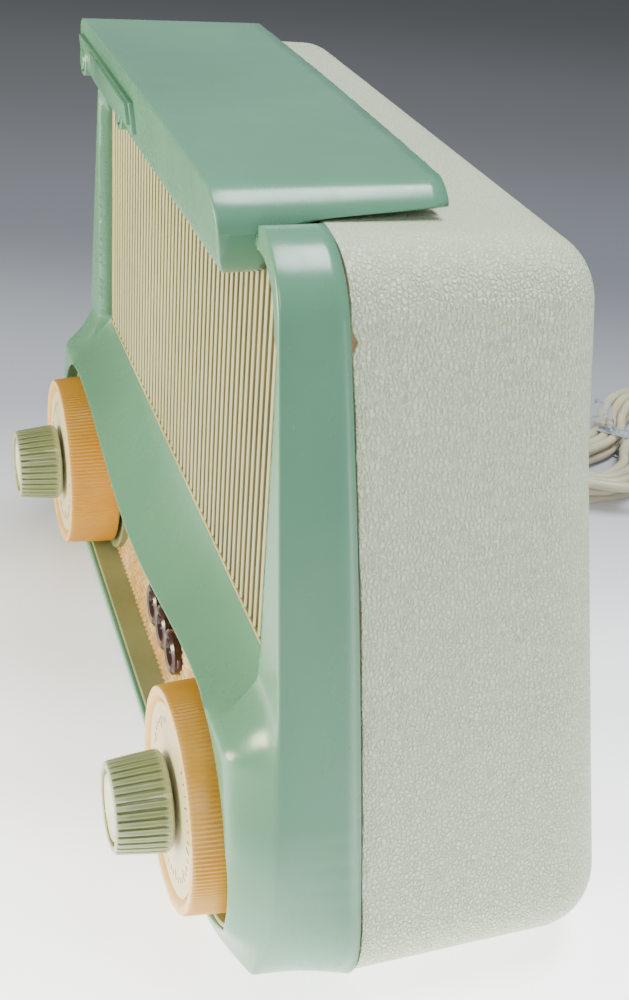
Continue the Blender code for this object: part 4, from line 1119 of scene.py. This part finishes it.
def scale_marks(side, body):
    """Dark strokes round the dial face, every fourth longer, with a gap over the top and no lettering."""
    rng = random.Random(11 + side)
    bm = bmesh.new()
    for i, turn in enumerate(around(44)):
        if 1.1 < turn < 1.9:
            continue
        length, width = (3.4, 0.5) if i % 4 == 0 else (1.7, 0.36)
        width *= rng.uniform(0.8, 1.15)
        cube = bmesh.ops.create_cube(bm, size=1)["verts"]
        bmesh.ops.scale(bm, vec=(length * MM, width * MM, 0.16 * MM), verts=cube)
        place = Matrix.Rotation(turn, 4, "Z") @ Matrix.Translation(((24.8 - length / 2) * MM, 0, -1.32 * MM))
        bmesh.ops.transform(bm, matrix=place, verts=cube)
    bm.transform(Matrix.Translation((side * DIAL_X, DIAL_Y, DIAL_Z)) @ Matrix.Rotation(math.pi / 2, 4, "X"))
    add("scale_marks", bm, MARKS, body)


def knob(side, body):
    """A tapered knob with narrow grooves, and a recessed front holding a gold-rimmed disc."""
    profile = [
        (3.3, 13.0), (3.3, 0.0), (9, -0.2), (14.2, 0.4), (15.2, 1.2), (15.4, 2.2), (15.3, 3.4), (14.9, 8.0),
        (14.3, 13.0), (13.9, 16.2), (13.5, 17.1), (12.8, 17.5), (12.0, 17.5), (11.5, 17.2), (11.2, 16.4),
        (10.9, 15.6), (3.3, 15.2),
    ]

    def flute(turn, radius, forward):
        if radius < 13.2 * MM or not 3 * MM < forward < 17 * MM:
            return 0.0
        wave = 0.5 + 0.5 * math.cos(turn * FLUTES)
        return -0.75 * MM * smooth((wave - 0.62) / 0.3)
    centre = (side * DIAL_X, DIAL_Y, DIAL_Z)
    word = "band_knob" if side > 0 else "volume_knob"
    grip = turned(f"{word}_grip", profile, centre, SAGE, body, FLUTES * STEPS_A_FLUTE, flute)
    cap = [
        (0, 16.4), (7.9, 16.4), (8.5, 16.75), (9.6, 16.8), (10.3, 16.5), (10.6, 16.0), (10.6, 15.4),
        (0, 15.4),
    ]
    disc = turned(f"{word}_disc", cap, centre, CAP, body, 64)
    ring = [(8.4, 16.7), (8.9, 17.0), (9.8, 17.0), (10.35, 16.6), (10.35, 16.2), (8.4, 16.2)]
    turned(f"{word}_ring", ring, centre, BRASS, body, 64)
    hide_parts(word)
    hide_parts(f"{word}_cap")


for side, dial_body, knob_body in ((1, "tuning", "band"), (-1, "tone", "volume")):
    dial(side, dial_body)
    scale_marks(side, dial_body)
    knob(side, knob_body)


# Mains lead

PLUG_Y, PIN_APART = 38.5 * MM, 13.3 * MM
HANK = Matrix.Translation((HANK_X, DIAL_Y + HANK_BACK, 0)) @ Matrix.Rotation(math.radians(HANK_TURN), 4, "Z")
GLAND_Y = rear_y(GLAND_Z - 8 * MM) + 0.3 * MM
# Each turn's end radius and height in millimetres, three turns lying on three
HANK_LAYERS = [(22.3, 3.5), (16.9, 3.7), (11.5, 3.6), (11.6, 9.1), (17.0, 9.2), (22.3, 9.3)]


def lead_route():
    """The lead's route from the gland to the hank, as in the CAD model."""
    x, y, z = GLAND_X, GLAND_Y + GLAND_LONG + 0.3 * MM, GLAND_Z
    end = HANK @ Vector((HANK_LONG / 2 + 0.3 * MM, 0, CORD_R + 1 * MM))
    turn = math.radians(HANK_TURN)
    along = Vector((math.cos(turn), math.sin(turn), 0))
    drop = [
        (x, y, z), (x, y + 12 * MM, z - 1.5 * MM), (x + 1 * MM, y + 25 * MM, z - 12 * MM),
        (x + 1.5 * MM, y + 38 * MM, 17 * MM), (x + 0.5 * MM, y + 52 * MM, CORD_R + 2.5 * MM),
        (x - 5 * MM, y + 66 * MM, CORD_R + 1 * MM),
    ]
    return [Vector(point) for point in drop] + [end + along * 14 * MM, end]


def hank_turns():
    """Six turns in two layers, drawn in at the tie and lifted over the incoming lead, then the tail."""
    rng = random.Random(4)
    flat = (HANK_LONG - HANK_WIDE) / 2
    points = [Vector(p) * MM for p in ((58, 9, 3.5), (44, 18.5, 3.5), (30, 19.5, 3.5))]

    def put(x, y, z):
        x += rng.uniform(-0.5, 0.5) * MM
        pinch = 8 * MM * (1 - smooth(abs(x) / (38 * MM)))
        y -= math.copysign(pinch, y)
        z += 5.2 * MM * smooth((x - 20 * MM) / (30 * MM)) + rng.uniform(-0.15, 0.15) * MM
        points.append(Vector((x, rng.uniform(-0.3, 0.3) * MM - y, z)))
    for k, layer in enumerate(HANK_LAYERS):
        last = layer is HANK_LAYERS[-1]
        radius, z = (v * MM for v in layer)
        after, z_after = (v * MM for v in (layer if last else HANK_LAYERS[k + 1]))
        for x in (14, 0, -15, -30, -42):
            put(x * MM, -radius, z)
        for angle in (-115, -145, -180, 145, 115):
            turn = math.radians(angle)
            put(-flat + radius * math.cos(turn), radius * math.sin(turn), z)
        for x in (-42, -25, -8, 8, 25, 42):
            put(x * MM, radius, z)
        for angle in (65, 35, 0) if last else (65, 35, 0, -35, -65):
            turn = math.radians(angle)
            part = (90 - angle) / 180
            r = radius + (after - radius) * part
            put(flat + r * math.cos(turn), r * math.sin(turn), z + (z_after - z) * part)
        if not last:
            put(30 * MM, -after, z_after)
    tail = [(60, 21, 14), (43, 33, 12.5), (16, 38.5, 11.3), (-4, 38.5, 11), (-11, 38.5, 11)]
    return points + [Vector(p) * MM for p in tail]


def flowing(points, steps=8):
    """Catmull-Rom samples through the points."""
    ends = [points[0] * 2 - points[1]] + points + [points[-1] * 2 - points[-2]]
    made = []
    for a, b, c, d in zip(ends, ends[1:], ends[2:], ends[3:]):
        for i in range(steps):
            t = i / steps
            square, cube = 2 * a - 5 * b + 4 * c - d, 3 * b - a - 3 * c + d
            made.append(0.5 * (2 * b + (c - a) * t + square * t * t + cube * t**3))
    return made + [points[-1]]


def mains_lead():
    line = flowing(lead_route() + [HANK @ p for p in hank_turns()])
    curve = bpy.data.curves.new("mains_lead", "CURVE")
    curve.dimensions = "3D"
    curve.bevel_depth, curve.bevel_resolution = CORD_R, 4
    spline = curve.splines.new("POLY")
    spline.points.add(len(line) - 1)
    for point, co in zip(spline.points, line):
        point.co = (*co, 1)
    curve.materials.append(RUBBER)
    lead = linked("mains_lead", curve)
    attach(lead, "case")
    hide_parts("mains_cord", "cord_hank")
    length = sum((b - a).length for a, b in zip(line, line[1:]))
    return lead, line[0], length


def squarish(value, power):
    return math.copysign(abs(value) ** power, value)


def cord_tie():
    """A band of clear film round the middle of the hank, with two loose twisted ends."""
    rings = []
    for k in range(-4, 5):
        x, ring = k * MM, []
        for turn in around(72):
            c, s = math.cos(turn), math.sin(turn)
            wrinkle = 0.25 * MM * noise.noise((x * 500, c * 4, s * 4))
            y = (17.4 * MM + wrinkle) * squarish(c, 0.55)
            z = 6.3 * MM + (5.9 * MM + wrinkle) * squarish(s, 0.6)
            ring.append(HANK @ Vector((x, y, max(z, 0.3 * MM))))
        rings.append(ring)
    band = add("tie_band", skinned(rings, caps=False), TIE, smooth=50)
    thicken(band, 0.25 * MM)
    made = [band]
    for n, (lean, reach) in enumerate(((2.4, 24), (3.6, 30))):
        rings = []
        for i in range(26):
            t = i / 25
            out = (2 * math.sin(lean + t * 3), -4 - reach * t * 0.6, 12.4 + (4 + 9 * n) * math.sin(t * 2.2))
            middle = Vector(out) * MM
            twist = lean + t * (4 + n)
            side = Vector((math.cos(twist), 0.3 * math.sin(twist * 2), math.sin(twist))) * 2.6 * MM
            lift = side.cross(Vector((0, 1, 0))).normalized() * 0.12 * MM
            rings.append([HANK @ (middle + v) for v in (side + lift, lift - side, -side - lift, side - lift)])
        made.append(add("tie_tail", skinned(rings), TIE, smooth=60))
    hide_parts("cord_tie")
    return made


def gland():
    """A flanged sleeve with five ribs."""
    profile = [(2.7, 0), (7, 0), (7, -2.6), (6.6, -3), (5.1, -3.2)]
    for k in range(5):
        z, r = -4.4 - 3.4 * k, 5.0 - 0.32 * k
        profile += [(r, z), (r - 0.15, z - 1.5), (r - 1.0, z - 1.8), (r - 1.0, z - 2.9)]
    profile += [(3.3, -21.6), (3.2, -24), (2.7, -24)]
    made = turned("gland_sleeve", profile, (GLAND_X, GLAND_Y, GLAND_Z), BAKELITE, steps=40)
    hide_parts("cord_gland")
    return made


def mains_plug():
    """A moulded two-pin plug lying on its side, with a waisted grip and a short sleeve."""
    # Each ring's place along the hank, and its reach across and up
    stations = (
        (-48.6, 10.6, 9.6), (-49, 11.2, 10.2), (-48.8, 11.8, 10.8), (-46, 12, 10.9), (-41, 11.9, 10.8),
        (-36, 10.6, 9.8), (-30, 9.6, 9.2), (-25, 9.2, 8.8), (-21, 8.2, 7.8), (-19, 5.6, 5.4),
        (-17.5, 4.6, 4.5), (-11.4, 4.0, 4.0), (-11, 3.6, 3.6),
    )

    def ring_at(x, y, z, wide, tall, power, steps):
        points = []
        for turn in around(steps):
            across, up = squarish(math.cos(turn), power) * wide, squarish(math.sin(turn), power) * tall
            points.append(HANK @ Vector((x * MM, y + across * MM, z * MM + up * MM)))
        return points
    rings = [ring_at(x, PLUG_Y, 11.1, wide, tall, 0.6, 48) for x, wide, tall in stations]
    made = [add("plug_body", skinned(rings), PLUG, smooth=40)]
    pin = ((-45, 2.2), (-68, 2.2), (-69.4, 1.7), (-70, 0.8))
    for side in (-1, 1):
        rings = [ring_at(x, PLUG_Y + side * PIN_APART / 2, 11, r, r, 1, 24) for x, r in pin]
        made.append(add("plug_pin", skinned(rings), BRASS, smooth=40))
    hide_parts("mains_plug")
    return made


lead, lead_exit, lead_length = mains_lead()
on_lead = [gland()] + cord_tie() + mains_plug()


# Stage and light

AWAY = (-0.93, 0.36, 0)  # the way the floor falls into shade
# The strength of the floor's painted glow
GLOW = 3.0


def stage():
    """A pale floor with painted shade that darkens it away from the camera, and a soft bright strip of
    painted light that glows.
    """
    bm = bmesh.new()
    bmesh.ops.create_grid(bm, x_segments=2, y_segments=2, size=6)
    floor = linked("floor", mesh_of("floor", bm))
    floor.location = (0, 0, -0.0002)
    p = Paint("floor_look", 0.55)
    away = p.vector("DOT_PRODUCT", p.place, AWAY, output="Value")
    floor_shade_tones = [
        (0.0, (0.90, 0.90, 0.88)), (0.10, (0.84, 0.85, 0.86)), (0.20, (0.38, 0.39, 0.43)),
        (0.38, (0.155, 0.16, 0.185)), (0.62, (0.12, 0.12, 0.13)), (0.9, (0.085, 0.085, 0.09)),
    ]
    # Painted shade: the floor's colour falls from pale to near black away from the camera
    p.into("Base Color", p.ramp(p.range(away, -0.15, 1.6), floor_shade_tones, True))
    steps = ((0.2, 0), (0.32, 1), (0.38, 0.85), (0.44, 0.55), (0.52, 0.3), (0.62, 0.12), (0.74, 0))
    # Painted light: an emission strip that glows on the floor near the set
    painted_glow = p.ramp(p.range(away, -0.5, 0.5), [(at, (v, v, 0.98 * v)) for at, v in steps], True)
    p.into("Emission Color", painted_glow)
    p.shader.inputs["Emission Strength"].default_value = GLOW
    floor.data.materials.append(p.material)


def light(name, place, size, power, colour, target=(0, 0, 0.1)):
    data = bpy.data.lights.new(name, "AREA")
    data.shape = "RECTANGLE"
    data.size, data.size_y = size
    data.energy = power
    data.color = colour
    lamp = linked(name, data)
    lamp.location = place
    lamp.rotation_euler = (Vector(target) - Vector(place)).to_track_quat("-Z", "Y").to_euler()


def lights():
    world = bpy.data.worlds.new("studio")
    bpy.context.scene.world = world
    world.use_nodes = True
    background = world.node_tree.nodes["Background"]
    background.inputs["Color"].default_value = (0.66, 0.72, 0.78, 1)
    background.inputs["Strength"].default_value = 0.36
    light("key", (1.2, -0.45, 0.95), (0.5, 0.5), 8, (0.95, 0.99, 1.0))
    light("front", (-0.1, -1.35, 0.25), (0.5, 0.5), 32, (1.0, 0.93, 0.64))
    light("overhead", (0.1, 0.35, 1.45), (0.8, 0.5), 32, (0.93, 0.98, 1.0))


stage()
lights()


# Carried-over CAD nodes

LOOKS = {
    "green_moulding": GREEN, "cream_moulding": CREAM, "olive_moulding": OLIVE, "gold_weave": PAPER,
    "brown": BROWN, "board": BOARD, "plated_steel": STEEL, "plywood": PLYWOOD, "covering": SKIN,
    "fibreboard": BOARD, "felt": FELT, "amber": AMBER, "ivory": IVORY, "sage": SAGE, "brass": BRASS,
    "brass_gear": BRASS, "bakelite": BAKELITE, "paper": PAPER, "glass": TIE, "beige_lead": RUBBER,
    "tie": TIE, "plug": PLUG,
}
slots = {row["node"]: row["material_slot"] for row in frame["record"]["subparts"]}
for node, obj in frame["nodes"].items():
    for i in range(max(1, len(obj.data.materials))):
        if i < len(obj.data.materials):
            obj.data.materials[i] = LOOKS[slots[node]]
        else:
            obj.data.materials.append(LOOKS[slots[node]])
